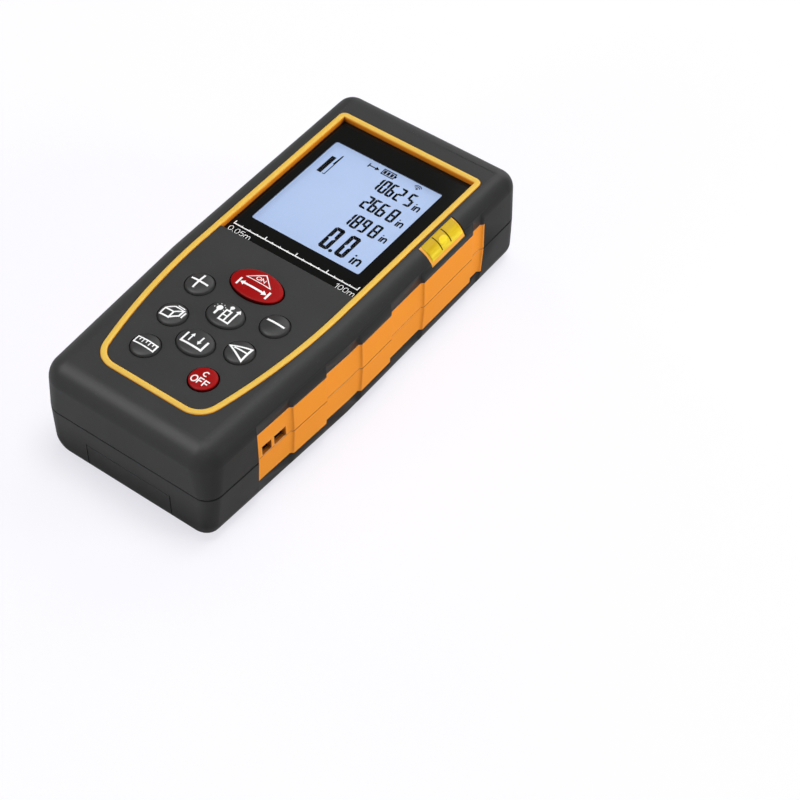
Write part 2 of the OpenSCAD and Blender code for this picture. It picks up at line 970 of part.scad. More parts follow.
module optics_screws() {
    color(steel)
        for (s = [-1, 1])
            difference() {
                union() {
                    post([s * optics_screw_x, optics_screw_y], 8 + 2 * seat, 9.3, 1.7);
                    post([s * optics_screw_x, optics_screw_y], 2.2, 8.5, 0.95);
                }
                translate([s * optics_screw_x - 1, optics_screw_y - 0.2, 8.7])
                    cube([2, 0.4, 1]);
                translate([s * optics_screw_x - 0.2, optics_screw_y - 1, 8.7])
                    cube([0.4, 2, 1]);
            }
}

module receiver_lens() {
    color([0.75, 0.85, 0.95])
        translate([receive_x, 0, axis_height])
            intersection() {
                translate([0, chassis_far - 5.9, 0])
                    rotate([-90, 0, 0])
                        cylinder(r = lens_radius, h = 10);
                translate([0, lens_centre_y, 0])
                    sphere(r = lens_curve, $fn = 96);
            }
}

module lens_ring() {
    color(black)
        translate([receive_x, ring_start, axis_height])
            rotate([-90, 0, 0])
                difference() {
                    cylinder(r = lens_radius, h = chassis_far - 0.1 - ring_start);
                    translate([0, 0, -1])
                        cylinder(r = lens_radius - 0.7, h = 4);
                }
}

module laser_tube() {
    color([0.72, 0.6, 0.32])
        translate([laser_x, chassis_near + 0.4, axis_height])
            rotate([-90, 0, 0])
                difference() {
                    cylinder(r = tube_radius, h = 19.6);
                    translate([0, 0, -1])
                        cylinder(r = 2.1, h = 30);
                    translate([0, 0, -1])
                        cylinder(r = 2.86, h = 4.2);
                    translate([0, 0, 16.4])
                        cylinder(r = 2.66, h = 5);
                }
}

module collimator_lens() {
    color([0.7, 0.8, 0.95])
        translate([laser_x, 0, axis_height])
            intersection() {
                translate([0, chassis_near + 16.85, 0])
                    rotate([-90, 0, 0])
                        cylinder(r = 2.6, h = 4);
                translate([0, chassis_near + 19.3 - 4.5, 0])
                    sphere(r = 4.5);
            }
}

module laser_diode() {
    color([0.8, 0.72, 0.45])
        translate([laser_x, 0, axis_height]) {
            translate([0, chassis_near + 0.4, 0])
                rotate([-90, 0, 0])
                    cylinder(r = 2.8, h = 1.2);
            translate([0, chassis_near + 1.4, 0])
                rotate([-90, 0, 0])
                    cylinder(r = 1.8, h = 1.9);
            for (a = [90, 210, 330])
                translate([1.2 * cos(a), chassis_near - 3.15, 1.2 * sin(a)])
                    rotate([-90, 0, 0])
                        cylinder(r = 0.23, h = 3.7);
        }
}

module optics_board() {
    color(board_green)
        translate([-15 * kx, chassis_near - 4.2, 4])
            cube([29 * kx, 1, board_low - 5]);
}

module detector() {
    color([0.82, 0.76, 0.5])
        translate([receive_x, chassis_near - 3.15, axis_height])
            rotate([-90, 0, 0])
                cylinder(r = 2.5, h = 4.6);
}

// Flat cable that bends from the optics board to the main board
module flex_cable() {
    color([0.72, 0.45, 0.12]) {
        translate([0, chassis_near - 4.55, 12])
            cube([6, 0.3, board_low - 12.05]);
        translate([0, chassis_near - 14, board_low - 0.35])
            cube([6, 9.75, 0.3]);
    }
}

// A cell along Y with its raised pole toward the positive Y direction
module cell() {
    r = cell_diameter / 2;
    rotate([-90, 0, 0]) {
        cylinder(r = r, h = cell_length - 1.1);
        cylinder(r = 1.9, h = cell_length);
    }
}

module battery_left() {
    color([0.75, 0.6, 0.2])
        translate([-cell_x, bay_far - plate_thick - 0.1 - cell_length, cell_z])
            cell();
}

module battery_right() {
    color([0.75, 0.6, 0.2])
        translate([cell_x, bay_near + plate_thick + 0.1 + cell_length, cell_z])
            rotate([0, 0, 180])
                cell();
}

// A tapered coil of round wire along Y, as one unbroken tube
spring_turns = 3.5;
spring_wire = 0.35;
spring_gap = 6.8 - 2 * plate_thick - 0.2;
spring_length = spring_gap - 2 * spring_wire;
function spring_point(t) = [
    (3.4 - 1.1 * t) * cos(360 * spring_turns * t),
    spring_wire + spring_length * t,
    (3.4 - 1.1 * t) * sin(360 * spring_turns * t)
];
module coil() {
    steps = 63;
    sides = 8;
    points = [
        for (i = [0:steps])
            let (t = i / steps, p = spring_point(t), a = 360 * spring_turns * t)
                for (j = [0:sides - 1])
                    let (b = 360 * j / sides)
                        [p[0] + spring_wire * cos(b) * cos(a), p[1] + spring_wire * sin(b),
                         p[2] + spring_wire * cos(b) * sin(a)]
    ];
    walls = [
        for (i = [0:steps - 1])
            for (j = [0:sides - 1])
                let (k = (j + 1) % sides)
                    each [
                        [i * sides + j, i * sides + k, (i + 1) * sides + k],
                        [i * sides + j, (i + 1) * sides + k, (i + 1) * sides + j]
                    ]
    ];
    caps = [
        [for (j = [sides - 1:-1:0]) j],
        [for (j = [0:sides - 1]) steps * sides + j]
    ];
    polyhedron(points = points, faces = concat(walls, caps));
}
// Least gap between neighbouring turns, measured between points a whole turn apart
spring_gaps = [
    for (i = [0:40])
        let (t = i / 40 * (1 - 1 / spring_turns))
            norm(spring_point(t + 1 / spring_turns) - spring_point(t)) - 2 * spring_wire
];
echo(spring_least_gap = min(spring_gaps));

module spring_near() {
    color(steel)
        translate([-cell_x, bay_near + plate_thick + seat, cell_z])
            coil();
}

module spring_far() {
    color(steel)
        translate([cell_x, bay_far - plate_thick - seat, cell_z])
            rotate([0, 0, 180])
                coil();
}

module contact_bridge() {
    color(steel)
        translate([-9.6, bay_near + 0.02, cell_z - 3.8])
            cube([19.2, plate_thick - 0.02, 7.6]);
}

module contact_right() {
    color(steel) {
        translate([cell_x - 4.1, bay_far - plate_thick, cell_z - 3.8])
            cube([8.2, plate_thick - 0.02, 7.6]);
        translate([cell_x - 0.7, bay_far - plate_thick, cell_z])
            cube([1.4, plate_thick - 0.02, board_low - seat - cell_z]);
    }
}

module contact_left() {
    color(steel)
        mirror([1, 0, 0]) {
            translate([cell_x - 4.1, bay_far - plate_thick, cell_z - 3.8])
                cube([8.2, plate_thick - 0.02, 7.6]);
            translate([cell_x - 0.7, bay_far - plate_thick, cell_z])
                cube([1.4, plate_thick - 0.02, board_low - seat - cell_z]);
        }
}

module battery_door() {
    color(case_grey)
        difference() {
            union() {
                intersection() {
                    rear_form();
                    union() {
                        translate([-door_half_width, -half_l - 1, 0])
                            cube([2 * door_half_width, door_far + half_l + 1, back_wall]);
                        translate([-door_half_width, -half_l - 1, 0])
                            cube([2 * door_half_width, door_lip_thick + 1, door_lip_height]);
                    }
                }
                translate([-door_half_width - tongue, end_wall + 1 - half_l, 0.6])
                    cube([2 * (door_half_width + tongue), door_far - end_wall - 1.4 + half_l, 0.6]);
            }
            for (i = [0:4])
                translate([-6 + 0.5 * i, -half_l + 9 + 1.8 * i, -1])
                    cube([12 - i, 0.8, 1.4]);
        }
}

module case_screws() {
    color(steel)
        for (p = case_screw_at)
            difference() {
                union() {
                    post(p, head_seat - 1.6, head_seat - seat, 1.95);
                    post(p, head_seat - 1, split_z + 6.8, 1);
                }
                translate([p[0] - 1.2, p[1] - 0.25, head_seat - 2])
                    cube([2.4, 0.5, 1.2]);
                translate([p[0] - 0.25, p[1] - 1.2, head_seat - 2])
                    cube([0.5, 2.4, 1.2]);
            }
}

front_case();
rear_case();
face_trim();
display_window();
window_gasket();
grip_right_front();
grip_right_rear();
grip_left_front();
grip_left_rear();
key_measure();
key_plus();
key_minus();
key_store();
key_volume();
key_triangle();
key_reference();
key_unit();
key_off();
keypad_mat();
snap_domes();
main_board();
board_chips();
board_screws();
buzzer();
lcd_panel();
lcd_backlight();
lcd_connector();
vial_block();
vial_liquid();
vial_bubble();
vial_lines();
vial_plug();
optics_bezel();
emitter_window();
optics_chassis();
optics_screws();
receiver_lens();
lens_ring();
laser_tube();
collimator_lens();
laser_diode();
optics_board();
detector();
flex_cable();
battery_left();
battery_right();
spring_near();
spring_far();
contact_bridge();
contact_left();
contact_right();
battery_door();
case_screws();
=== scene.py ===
# %% [markdown]
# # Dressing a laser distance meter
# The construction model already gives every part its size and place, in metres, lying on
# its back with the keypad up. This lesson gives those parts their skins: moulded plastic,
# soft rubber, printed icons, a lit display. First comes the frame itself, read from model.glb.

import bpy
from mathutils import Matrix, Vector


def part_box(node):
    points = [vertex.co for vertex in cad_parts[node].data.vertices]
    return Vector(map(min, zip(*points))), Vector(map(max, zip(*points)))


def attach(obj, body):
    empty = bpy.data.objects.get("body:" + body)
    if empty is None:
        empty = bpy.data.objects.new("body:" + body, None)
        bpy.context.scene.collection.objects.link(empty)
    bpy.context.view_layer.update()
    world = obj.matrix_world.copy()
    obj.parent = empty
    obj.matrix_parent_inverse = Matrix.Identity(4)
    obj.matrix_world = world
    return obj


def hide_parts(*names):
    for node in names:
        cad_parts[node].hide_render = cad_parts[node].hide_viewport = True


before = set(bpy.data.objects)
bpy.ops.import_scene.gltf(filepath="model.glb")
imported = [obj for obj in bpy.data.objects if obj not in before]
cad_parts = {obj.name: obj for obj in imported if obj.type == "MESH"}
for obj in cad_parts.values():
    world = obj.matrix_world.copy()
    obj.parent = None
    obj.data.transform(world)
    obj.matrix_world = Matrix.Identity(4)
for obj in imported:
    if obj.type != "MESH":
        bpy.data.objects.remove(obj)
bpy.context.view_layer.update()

# %% [markdown]
# ## Camera
# The picture is a product shot from the battery end, above the right side. A long lens was
# worked out from the parallel edges of the body: at about 96 mm the far end is only a little
# smaller than the near one. The camera's three axes are written out as a matrix, because a
# measured view is easier to repeat that way than with a tracking constraint.

# %% Set the camera
import bpy
import bmesh
import math
from mathutils import Matrix, Vector
from mathutils.bvhtree import BVHTree

MM = 0.001
FOCAL_LENGTH, SENSOR_WIDTH, NEAR_CLIP = 95.61, 36.0, 0.02


def aimed_camera(azimuth, elevation, roll, place):
    a, e, r = (math.radians(v) for v in (azimuth, elevation, roll))
    back = Vector((math.sin(a) * math.cos(e), -math.cos(a) * math.cos(e), math.sin(e)))
    right = Vector((math.cos(a), math.sin(a), 0.0))
    up = back.cross(right)
    turned = right * math.cos(r) + up * math.sin(r)
    up = up * math.cos(r) - right * math.sin(r)
    camera = bpy.data.objects.new("camera", bpy.data.cameras.new("camera"))
    camera.data.lens = FOCAL_LENGTH
    camera.data.sensor_width = SENSOR_WIDTH
    camera.data.clip_start = NEAR_CLIP
    camera.matrix_world = Matrix((
        (turned.x, up.x, back.x, place[0] * MM),
        (turned.y, up.y, back.y, place[1] * MM),
        (turned.z, up.z, back.z, place[2] * MM),
        (0.0, 0.0, 0.0, 1.0)))
    bpy.context.scene.collection.objects.link(camera)
    bpy.context.scene.camera = camera
    return camera


camera = aimed_camera(azimuth=36.72, elevation=49.07, roll=0.057, place=(222.018, -254.62, 368.803))
print("camera lens", round(camera.data.lens, 1), "mm")

# %% [markdown]
# ## Node tools
# A finish is a tree of small nodes, and building one by hand means the same few moves over
# and over: make a node, set a number or link a wire, pass on its output. These helpers do
# those moves, so that a finish below reads like a recipe.

# %% Tools for sums and ranges
def feed(tree, socket, value):
    """Give a socket a plain value, or link another node's output to it."""
    if isinstance(value, (int, float, tuple)):
        socket.default_value = value
    else:
        tree.links.new(value, socket)


def sum_node(tree, kind, *values):
    node = tree.nodes.new("ShaderNodeMath")
    node.operation = kind
    for socket, value in zip(node.inputs, values):
        feed(tree, socket, value)
    return node.outputs[0]


def vector_node(tree, kind, *values):
    node = tree.nodes.new("ShaderNodeVectorMath")
    node.operation = kind
    for socket, value in zip(node.inputs, values):
        feed(tree, socket, value)
    return node.outputs["Value" if kind in ("LENGTH", "DOT_PRODUCT") else "Vector"]


def span_node(tree, value, start, end, low=0.0, high=1.0):
    """Carry the range from start to end over to the range from low to high."""
    span = tree.nodes.new("ShaderNodeMapRange")
    for label, number in (("From Min", start), ("From Max", end), ("To Min", low), ("To Max", high)):
        span.inputs[label].default_value = number
    tree.links.new(value, span.inputs["Value"])
    return span.outputs["Result"]


def object_place(tree):
    return tree.nodes.new("ShaderNodeTexCoord").outputs["Object"]


def one_axis(tree, vector, axis):
    split = tree.nodes.new("ShaderNodeSeparateXYZ")
    tree.links.new(vector, split.inputs[0])
    return split.outputs[axis]


print("tools for sums, ranges and places")

# %% Tools for mixing
def blended(tree, share, first, second):
    mix = tree.nodes.new("ShaderNodeMix")
    mix.data_type = "RGBA"
    factor = [s for s in mix.inputs if s.type == "VALUE"][0]
    colours = [s for s in mix.inputs if s.type == "RGBA"]
    for socket, value in zip([factor] + colours, (share, first, second)):
        feed(tree, socket, value)
    return [s for s in mix.outputs if s.type == "RGBA"][0]


def shader_mix(tree, share, first, second):
    mix = tree.nodes.new("ShaderNodeMixShader")
    for socket, value in zip(mix.inputs, (share, first, second)):
        tree.links.new(value, socket)
    return mix.outputs[0]


def rgb(red, green, blue):
    """A colour as it is written for a screen, turned into linear light."""
    def linear(v):
        v = v / 255.0
        return v / 12.92 if v <= 0.04045 else ((v + 0.055) / 1.055) ** 2.4
    return (linear(red), linear(green), linear(blue), 1.0)


print("a written grey of 128 is", round(rgb(128, 128, 128)[0], 3), "in linear light")

# %% [markdown]
# ## Floor, sky and lamps
# The table is white paper that fades into a white backdrop. A real photographer would light
# the paper apart from the object; here the floor is part diffuse paper, which takes the soft
# shadow, and part plain glow to the eye of the camera. Near the object that glow is pale lilac,
# a painted shadow tint that shows only where the shadow falls; further out it is all white.
# The light on the object comes from soft fill lamps, which do not show in shiny surfaces, and
# from cards that show only there, so the pale bands along the rounded shoulders can be placed
# without changing the shadows. The lamps stay at a level where a colour looks about as it is
# written.

# %% Mix the floor paper
WHITE = (1.0, 1.0, 1.0, 1.0)
# Painted shadow tint: the glow near the object is pale lilac, seen only where the soft shadow falls.
SHADOW_LILAC = (0.82, 0.79, 1.0, 1.0)
BOUNCE_GREY = (0.4, 0.4, 0.41, 1.0)
FADE_START, FADE_END = 0.15, 0.7
NEAR_GLOW = 0.72
MIRRORED_SHARE = 0.15


def matte(tree, colour):
    shader = tree.nodes.new("ShaderNodeBsdfDiffuse")
    shader.inputs["Color"].default_value = colour
    return shader.outputs[0]


def floor_paper():
    paper = bpy.data.materials.new("white_paper")
    paper.use_nodes = True
    tree = paper.node_tree
    tree.nodes.clear()
    away = vector_node(tree, "LENGTH", object_place(tree))
    fade = span_node(tree, away, FADE_START, FADE_END, NEAR_GLOW, 1.0)
    fade.node.interpolation_type = "SMOOTHSTEP"
    glow = tree.nodes.new("ShaderNodeEmission")
    glow.inputs["Strength"].default_value = 1.0
    tree.links.new(blended(tree, fade, SHADOW_LILAC, WHITE), glow.inputs["Color"])
    shown = shader_mix(tree, fade, matte(tree, WHITE), glow.outputs[0])
    path = tree.nodes.new("ShaderNodeLightPath").outputs
    mirrored = sum_node(tree, "MULTIPLY", path["Is Glossy Ray"], MIRRORED_SHARE)
    seen = sum_node(tree, "MAXIMUM", path["Is Camera Ray"], mirrored)
    seen = sum_node(tree, "MAXIMUM", seen, path["Is Transmission Ray"])
    out = tree.nodes.new("ShaderNodeOutputMaterial")
    tree.links.new(shader_mix(tree, seen, matte(tree, BOUNCE_GREY), shown), out.inputs["Surface"])
    return paper


PAPER = floor_paper()
print("paper fades to white from", FADE_START, "to", FADE_END, "m")

# %% Lay the floor
FLOOR_REACH = 4.0
FLOOR_DROP = 0.05 * MM


def lay_floor(reach, drop):
    form = bmesh.new()
    bmesh.ops.create_circle(form, cap_ends=True, segments=64, radius=reach)
    mesh = bpy.data.meshes.new("floor")
    form.to_mesh(mesh)
    form.free()
    floor = bpy.data.objects.new("floor", mesh)
    floor.location.z = -drop
    mesh.materials.append(PAPER)
    bpy.context.scene.collection.objects.link(floor)


lay_floor(FLOOR_REACH, FLOOR_DROP)
print("floor", 2 * FLOOR_REACH, "m across")

# %% Light the backdrop
SKY_TINT = (0.97, 0.98, 1.0, 1.0)
AMBIENT = 0.2


def backdrop(tree, colour, strength):
    shader = tree.nodes.new("ShaderNodeBackground")
    shader.inputs["Color"].default_value = colour
    shader.inputs["Strength"].default_value = strength
    return shader.outputs[0]


def white_sky():
    sky = bpy.data.worlds.new("studio")
    bpy.context.scene.world = sky
    sky.use_nodes = True
    tree = sky.node_tree
    tree.nodes.clear()
    path = tree.nodes.new("ShaderNodeLightPath").outputs
    seen = sum_node(tree, "MAXIMUM", path["Is Camera Ray"], path["Is Transmission Ray"])
    light = shader_mix(tree, seen, backdrop(tree, SKY_TINT, AMBIENT), backdrop(tree, WHITE, 1.0))
    tree.links.new(light, tree.nodes.new("ShaderNodeOutputWorld").inputs["Surface"])


bpy.context.scene.view_settings.view_transform = "Standard"
white_sky()
print("white backdrop with ambient light", AMBIENT)

# %% Hang the lamps and cards
def softbox(name, aim, distance, size, power, fills=True, mirrors=True):
    """A square lamp, in metres and watts, along aim from the object."""
    lamp = bpy.data.lights.new(name, "AREA")
    lamp.shape = "SQUARE"
    lamp.size = size
    lamp.energy = power
    holder = bpy.data.objects.new(name, lamp)
    towards = Vector(aim).normalized()
    holder.location = towards * distance
    holder.rotation_euler = towards.to_track_quat("Z", "Y").to_euler()
    holder.visible_diffuse = fills
    holder.visible_glossy = mirrors
    holder.visible_transmission = mirrors
    bpy.context.scene.collection.objects.link(holder)


softbox("top_fill", (0.12, 0.12, 0.985), distance=1.2, size=0.5, power=9.2, mirrors=False)
softbox("right_fill", (0.87, 0.43, 0.2), distance=1.3, size=0.5, power=9.6, mirrors=False)
softbox("front_fill", (-0.3, -0.93, 0.2), distance=1.3, size=0.5, power=6.6, mirrors=False)
softbox("left_fill", (-0.9, 0.2, 0.2), distance=1.3, size=0.5, power=4.0, mirrors=False)
softbox("back_box", (-0.05, 0.85, 0.5), distance=1.3, size=1.0, power=4.0)
softbox("top_card", (0.0, 0.0, 1.0), distance=1.2, size=0.6, power=2.6, fills=False)
softbox("shoulder_card", (-0.39, -0.45, 0.8), distance=1.2, size=0.8, power=8.1, fills=False)
softbox("edge_card", (0.06, 0.525, 0.85), distance=1.2, size=0.45, power=1.1, fills=False)
print("lamps and cards", [lamp.name for lamp in bpy.data.lights])

# %% [markdown]
# ## Shared surface effects
# Four effects turn up in nearly every finish, so each is one shader node group. Moulded
# grain is the fine spark-eroded texture of a plastic mould, with slow clouds of tone. Edge
# wear finds edges by comparing the true normal with a rounded one; on the orange rubber the
# same mask paints a pale edge highlight. Settled dust lies on what faces up. Painted shade
# darkens hollows and the surfaces close to the floor, where little light gets in. A group
# only puts out masks and heights; the shader stays in each material.

# %% Moulded grain
def new_group(name, takes, gives):
    group = bpy.data.node_groups.new(name, "ShaderNodeTree")
    for label, value in takes:
        socket = group.interface.new_socket(name=label, in_out="INPUT", socket_type="NodeSocketFloat")
        socket.default_value = value
    for label in gives:
        group.interface.new_socket(name=label, in_out="OUTPUT", socket_type="NodeSocketFloat")
    return group, group.nodes.new("NodeGroupInput"), group.nodes.new("NodeGroupOutput")


def noise_node(tree, place, scale, detail, rough=0.5):
    noise = tree.nodes.new("ShaderNodeTexNoise")
    noise.inputs["Detail"].default_value = detail
    noise.inputs["Roughness"].default_value = rough
    tree.links.new(place, noise.inputs["Vector"])
    feed(tree, noise.inputs["Scale"], scale)
    return noise.outputs["Fac"]


def scale_for(tree, size):
    """The texture scale for a grain size in millimetres."""
    return sum_node(tree, "DIVIDE", 1.0 / MM, size)


def grain_group():
    group, given, out = new_group(
        "moulded_grain", (("Pit Size", 0.25), ("Cloud Size", 9.0)), ("Height", "Tone", "Gloss"))
    place = object_place(group)
    pits = noise_node(group, place, scale_for(group, given.outputs["Pit Size"]), 2.0)
    clouds = noise_node(group, place, scale_for(group, given.outputs["Cloud Size"]), 3.0)
    fine = sum_node(group, "MULTIPLY", pits, 0.55)
    slow = sum_node(group, "MULTIPLY", clouds, 0.45)
    group.links.new(pits, out.inputs["Height"])
    group.links.new(sum_node(group, "ADD", fine, slow), out.inputs["Tone"])
    group.links.new(clouds, out.inputs["Gloss"])
    return group


GRAIN = grain_group()
print("group", GRAIN.name, "with", len(GRAIN.nodes), "nodes")

# %% Edge wear and painted edge highlight
def true_normal(tree):
    return tree.nodes.new("ShaderNodeNewGeometry").outputs["Normal"]


def overlap(tree, first, second):
    """The product of two masks, kept between nought and one."""
    product = sum_node(tree, "MULTIPLY", first, second)
    product.node.use_clamp = True
    return product


# The edge mask serves real edge wear, and on the rubber a painted pale edge highlight.
def edge_wear_and_highlight_group():
    group, given, out = new_group("edge_wear_and_highlight", (("Reach", 0.3), ("Patchiness", 4.0)), ("Mask",))
    rounded = group.nodes.new("ShaderNodeBevel")
    rounded.samples = 4
    group.links.new(sum_node(group, "MULTIPLY", given.outputs["Reach"], MM), rounded.inputs["Radius"])
    alike = vector_node(group, "DOT_PRODUCT", rounded.outputs["Normal"], true_normal(group))
    edge = sum_node(group, "MULTIPLY", sum_node(group, "SUBTRACT", 1.0, alike), 4.0)
    patch_scale = scale_for(group, given.outputs["Patchiness"])
    patches = noise_node(group, object_place(group), patch_scale, 4.0, 0.6)
    group.links.new(overlap(group, edge, patches), out.inputs["Mask"])
    return group


EDGE_WEAR_AND_HIGHLIGHT = edge_wear_and_highlight_group()
print("group", EDGE_WEAR_AND_HIGHLIGHT.name, "with", len(EDGE_WEAR_AND_HIGHLIGHT.nodes), "nodes")

# %% Settled dust
def turned_to(tree, axis):
    return one_axis(tree, true_normal(tree), axis)


def dust_group():
    group, given, out = new_group("settled_dust", (("Fleck Size", 0.5),), ("Mask",))
    fleck_scale = scale_for(group, given.outputs["Fleck Size"])
    flecks = noise_node(group, object_place(group), fleck_scale, 5.0, 0.7)
    thickest = span_node(group, flecks, 0.6, 0.8)
    group.links.new(overlap(group, thickest, turned_to(group, "Z")), out.inputs["Mask"])
    return group


DUST = dust_group()
print("group", DUST.name, "with", len(DUST.nodes), "nodes")

# %% Painted shade in hollows
def hollow_shade_group():
    group, given, out = new_group("crevice_shade", (("Reach", 1.2),), ("Mask",))
    # Ambient occlusion finds hollows and the nearness of the floor; the mask paints shade there.
    hollow = group.nodes.new("ShaderNodeAmbientOcclusion")
    hollow.samples = 6
    group.links.new(sum_node(group, "MULTIPLY", given.outputs["Reach"], MM), hollow.inputs["Distance"])
    group.links.new(span_node(group, hollow.outputs["AO"], 0.85, 0.25), out.inputs["Mask"])
    return group


HOLLOW_SHADE = hollow_shade_group()
print("group", HOLLOW_SHADE.name, "with", len(HOLLOW_SHADE.nodes), "nodes")

# %% [markdown]
# ## Moulded finishes
# Nearly all that shows is injection moulded: charcoal case halves, an amber trim line, orange
# rubber grips, keys. They differ in colour, gloss and grain but are built alike, so one recipe
# makes them all: two close tones mixed by the grain, paler along worn edges (on the rubber a
# painted edge highlight), painted shade in hollows, a breath of dust, and the grain again as a
# very shallow bump. Painted shade can also darken the side walls, the lower edge or the groove
# of the parting line, and a small key can shade as if more domed.

# %% Start a finish
def new_finish(name):
    finish = bpy.data.materials.new(name)
    finish.use_nodes = True
    return finish, finish.node_tree, finish.node_tree.nodes["Principled BSDF"]


def placed(tree, group, **values):
    node = tree.nodes.new("ShaderNodeGroup")
    node.node_tree = group
    for label, value in values.items():
        node.inputs[label.replace("_", " ")].default_value = value
    return node


def ranged(tree, value, low, high):
    """Spread the middle of a noise, from 0.3 to 0.7, between low and high."""
    return span_node(tree, value, 0.3, 0.7, low, high)


def height_above(tree, level):
    return sum_node(tree, "SUBTRACT", one_axis(tree, object_place(tree), "Z"), level * MM)


print("finishes so far", len(bpy.data.materials))

# %% Bumps for grain and domes
def bump_node(tree, height, depth, strength):
    bump = tree.nodes.new("ShaderNodeBump")
    bump.inputs["Strength"].default_value = strength
    bump.inputs["Distance"].default_value = depth * MM
    tree.links.new(height, bump.inputs["Height"])
    return bump


def bumped(tree, shader, height, depth, strength=0.6):
    bump = bump_node(tree, height, depth, strength)
    tree.links.new(bump.outputs["Normal"], shader.inputs["Normal"])
    return bump


def arched(tree, bump, rise):
    """Let a small round piece shade as if its top were a little more domed."""
    place = tree.nodes.new("ShaderNodeTexCoord").outputs["Generated"]
    centred = vector_node(tree, "MULTIPLY_ADD", place, (2.0, 2.0, 0.0), (-1.0, -1.0, 0.0))
    square = vector_node(tree, "DOT_PRODUCT", centred, centred)
    dome = bump_node(tree, sum_node(tree, "SUBTRACT", 1.0, square), rise, 1.0)
    tree.links.new(dome.outputs["Normal"], bump.inputs["Normal"])


print("bumps are given in millimetres, one is", MM, "m")

# %% A recipe for moulded plastic and rubber
DUST_GREY = (190, 190, 188)


def moulded(name, dark, light, rough, pit=0.25, depth=0.012, shine=0.4, wear_and_highlight=None, edge_tone_share=0.5, dust=0.05,
            sides=None, shaded_flanks=None, foot=None, seam_shade=None, hollow_shade=None, reach=1.2, crown=0.0):
    finish, tree, shader = new_finish(name)
    grain = placed(tree, GRAIN, Pit_Size=pit, Cloud_Size=9.0)
    colour = blended(tree, grain.outputs["Tone"], rgb(*dark), rgb(*light))

    def tinted(share, tone):
        return blended(tree, share, colour, rgb(*tone))

    # Painted shade: walls that turn away from the sky take the darker tone.
    if sides:
        upward = sum_node(tree, "SUBTRACT", turned_to(tree, "Z"), 0.1)
        colour = tinted(ranged(tree, upward, 1.0, 0.0), sides)
    # Painted shade: faces turned to the left or right take the darker tone.
    if shaded_flanks:
        across = sum_node(tree, "MULTIPLY", sum_node(tree, "ABSOLUTE", turned_to(tree, "X")), 0.75)
        colour = tinted(ranged(tree, across, 0.0, 1.0), shaded_flanks)
    # Painted shade: darker towards the bottom, below the given level.
    if foot:
        tone, level, spread = foot
        low = sum_node(tree, "MULTIPLY", height_above(tree, level), 1.0 / MM / spread)
        colour = tinted(ranged(tree, low, 1.0, 0.0), tone)
    # Painted shade: a dark band along the groove of the parting line.
    if seam_shade:
        tone, level, width = seam_shade
        off = sum_node(tree, "ABSOLUTE", height_above(tree, level))
        colour = tinted(ranged(tree, sum_node(tree, "MULTIPLY", off, 0.5 / MM / width), 1.0, 0.0), tone)
    # Painted shade in hollows and near the floor, from the occlusion mask.
    if hollow_shade:
        hollow = placed(tree, HOLLOW_SHADE, Reach=reach)
        colour = tinted(sum_node(tree, "MULTIPLY", hollow.outputs["Mask"], 0.85), hollow_shade)
    # Paler edges: wear, and on the rubber a painted edge highlight.
    if wear_and_highlight:
        edge_mask = placed(tree, EDGE_WEAR_AND_HIGHLIGHT, Reach=0.3, Patchiness=5.0)
        colour = tinted(sum_node(tree, "MULTIPLY", edge_mask.outputs["Mask"], edge_tone_share), wear_and_highlight)
    flecks = placed(tree, DUST, Fleck_Size=0.6)
    colour = tinted(sum_node(tree, "MULTIPLY", flecks.outputs["Mask"], dust), DUST_GREY)
    tree.links.new(colour, shader.inputs["Base Color"])
    tree.links.new(ranged(tree, grain.outputs["Gloss"], *rough), shader.inputs["Roughness"])
    bump = bumped(tree, shader, grain.outputs["Height"], depth)
    if crown:
        arched(tree, bump, crown)
    shader.inputs["Specular IOR Level"].default_value = shine
    return finish


print("one recipe, with a pit of 0.25 mm unless another is asked for")

# %% Mix the finishes that show
PARTING = 14.2
# The grey of the painted shade on the charcoal's side faces and lower edge.
LOW_SHADE_GREY = (37, 37, 37)
# Charcoal: painted shade on side faces, lower edge, parting-line groove, in hollows and near the floor.
CHARCOAL = moulded("charcoal_plastic", (52, 52, 52), (58, 58, 58), (0.34, 0.42), shine=0.22,
                   wear_and_highlight=(84, 84, 84), shaded_flanks=LOW_SHADE_GREY, foot=(LOW_SHADE_GREY, 0.0, 17.0),
                   seam_shade=((22, 22, 22), PARTING, 0.23), hollow_shade=(12, 12, 12), reach=4.0)
# Amber: painted shade on the trim's walls, its lower flanks and in the window recess.
AMBER = moulded("amber_trim", (219, 177, 74), (231, 193, 90), (0.34, 0.44), pit=0.4, depth=0.006,
                shine=0.2, dust=0.03, sides=(232, 146, 38), foot=((226, 134, 32), 27.4, 1.0),
                hollow_shade=(120, 58, 6))
# Orange: a painted pale edge highlight, and painted shade along the seam and in the lanyard eye.
ORANGE = moulded("orange_rubber", (250, 150, 44), (255, 164, 58), (0.5, 0.64), pit=0.3, depth=0.02,
                 shine=0.1, wear_and_highlight=(255, 226, 176), edge_tone_share=1.0, seam_shade=((184, 98, 26), PARTING, 0.14),
                 hollow_shade=(116, 48, 8), reach=3.4)
KEY_GREY = moulded("grey_key", (46, 46, 46), (53, 53, 53), (0.36, 0.46), pit=0.3, depth=0.006, crown=0.4)
# Red keys: painted shade on the side walls.
KEY_RED = moulded("red_key", (142, 3, 4), (156, 6, 7), (0.36, 0.46), pit=0.3, depth=0.006, shine=0.14,
                  sides=(74, 3, 5))
BEZEL = moulded("black_bezel", (20, 20, 21), (27, 27, 28), (0.3, 0.4), pit=0.2, depth=0.006,
                wear_and_highlight=(60, 60, 62))
print("finishes that show", [m.name for m in (CHARCOAL, AMBER, ORANGE, KEY_GREY, KEY_RED, BEZEL)])

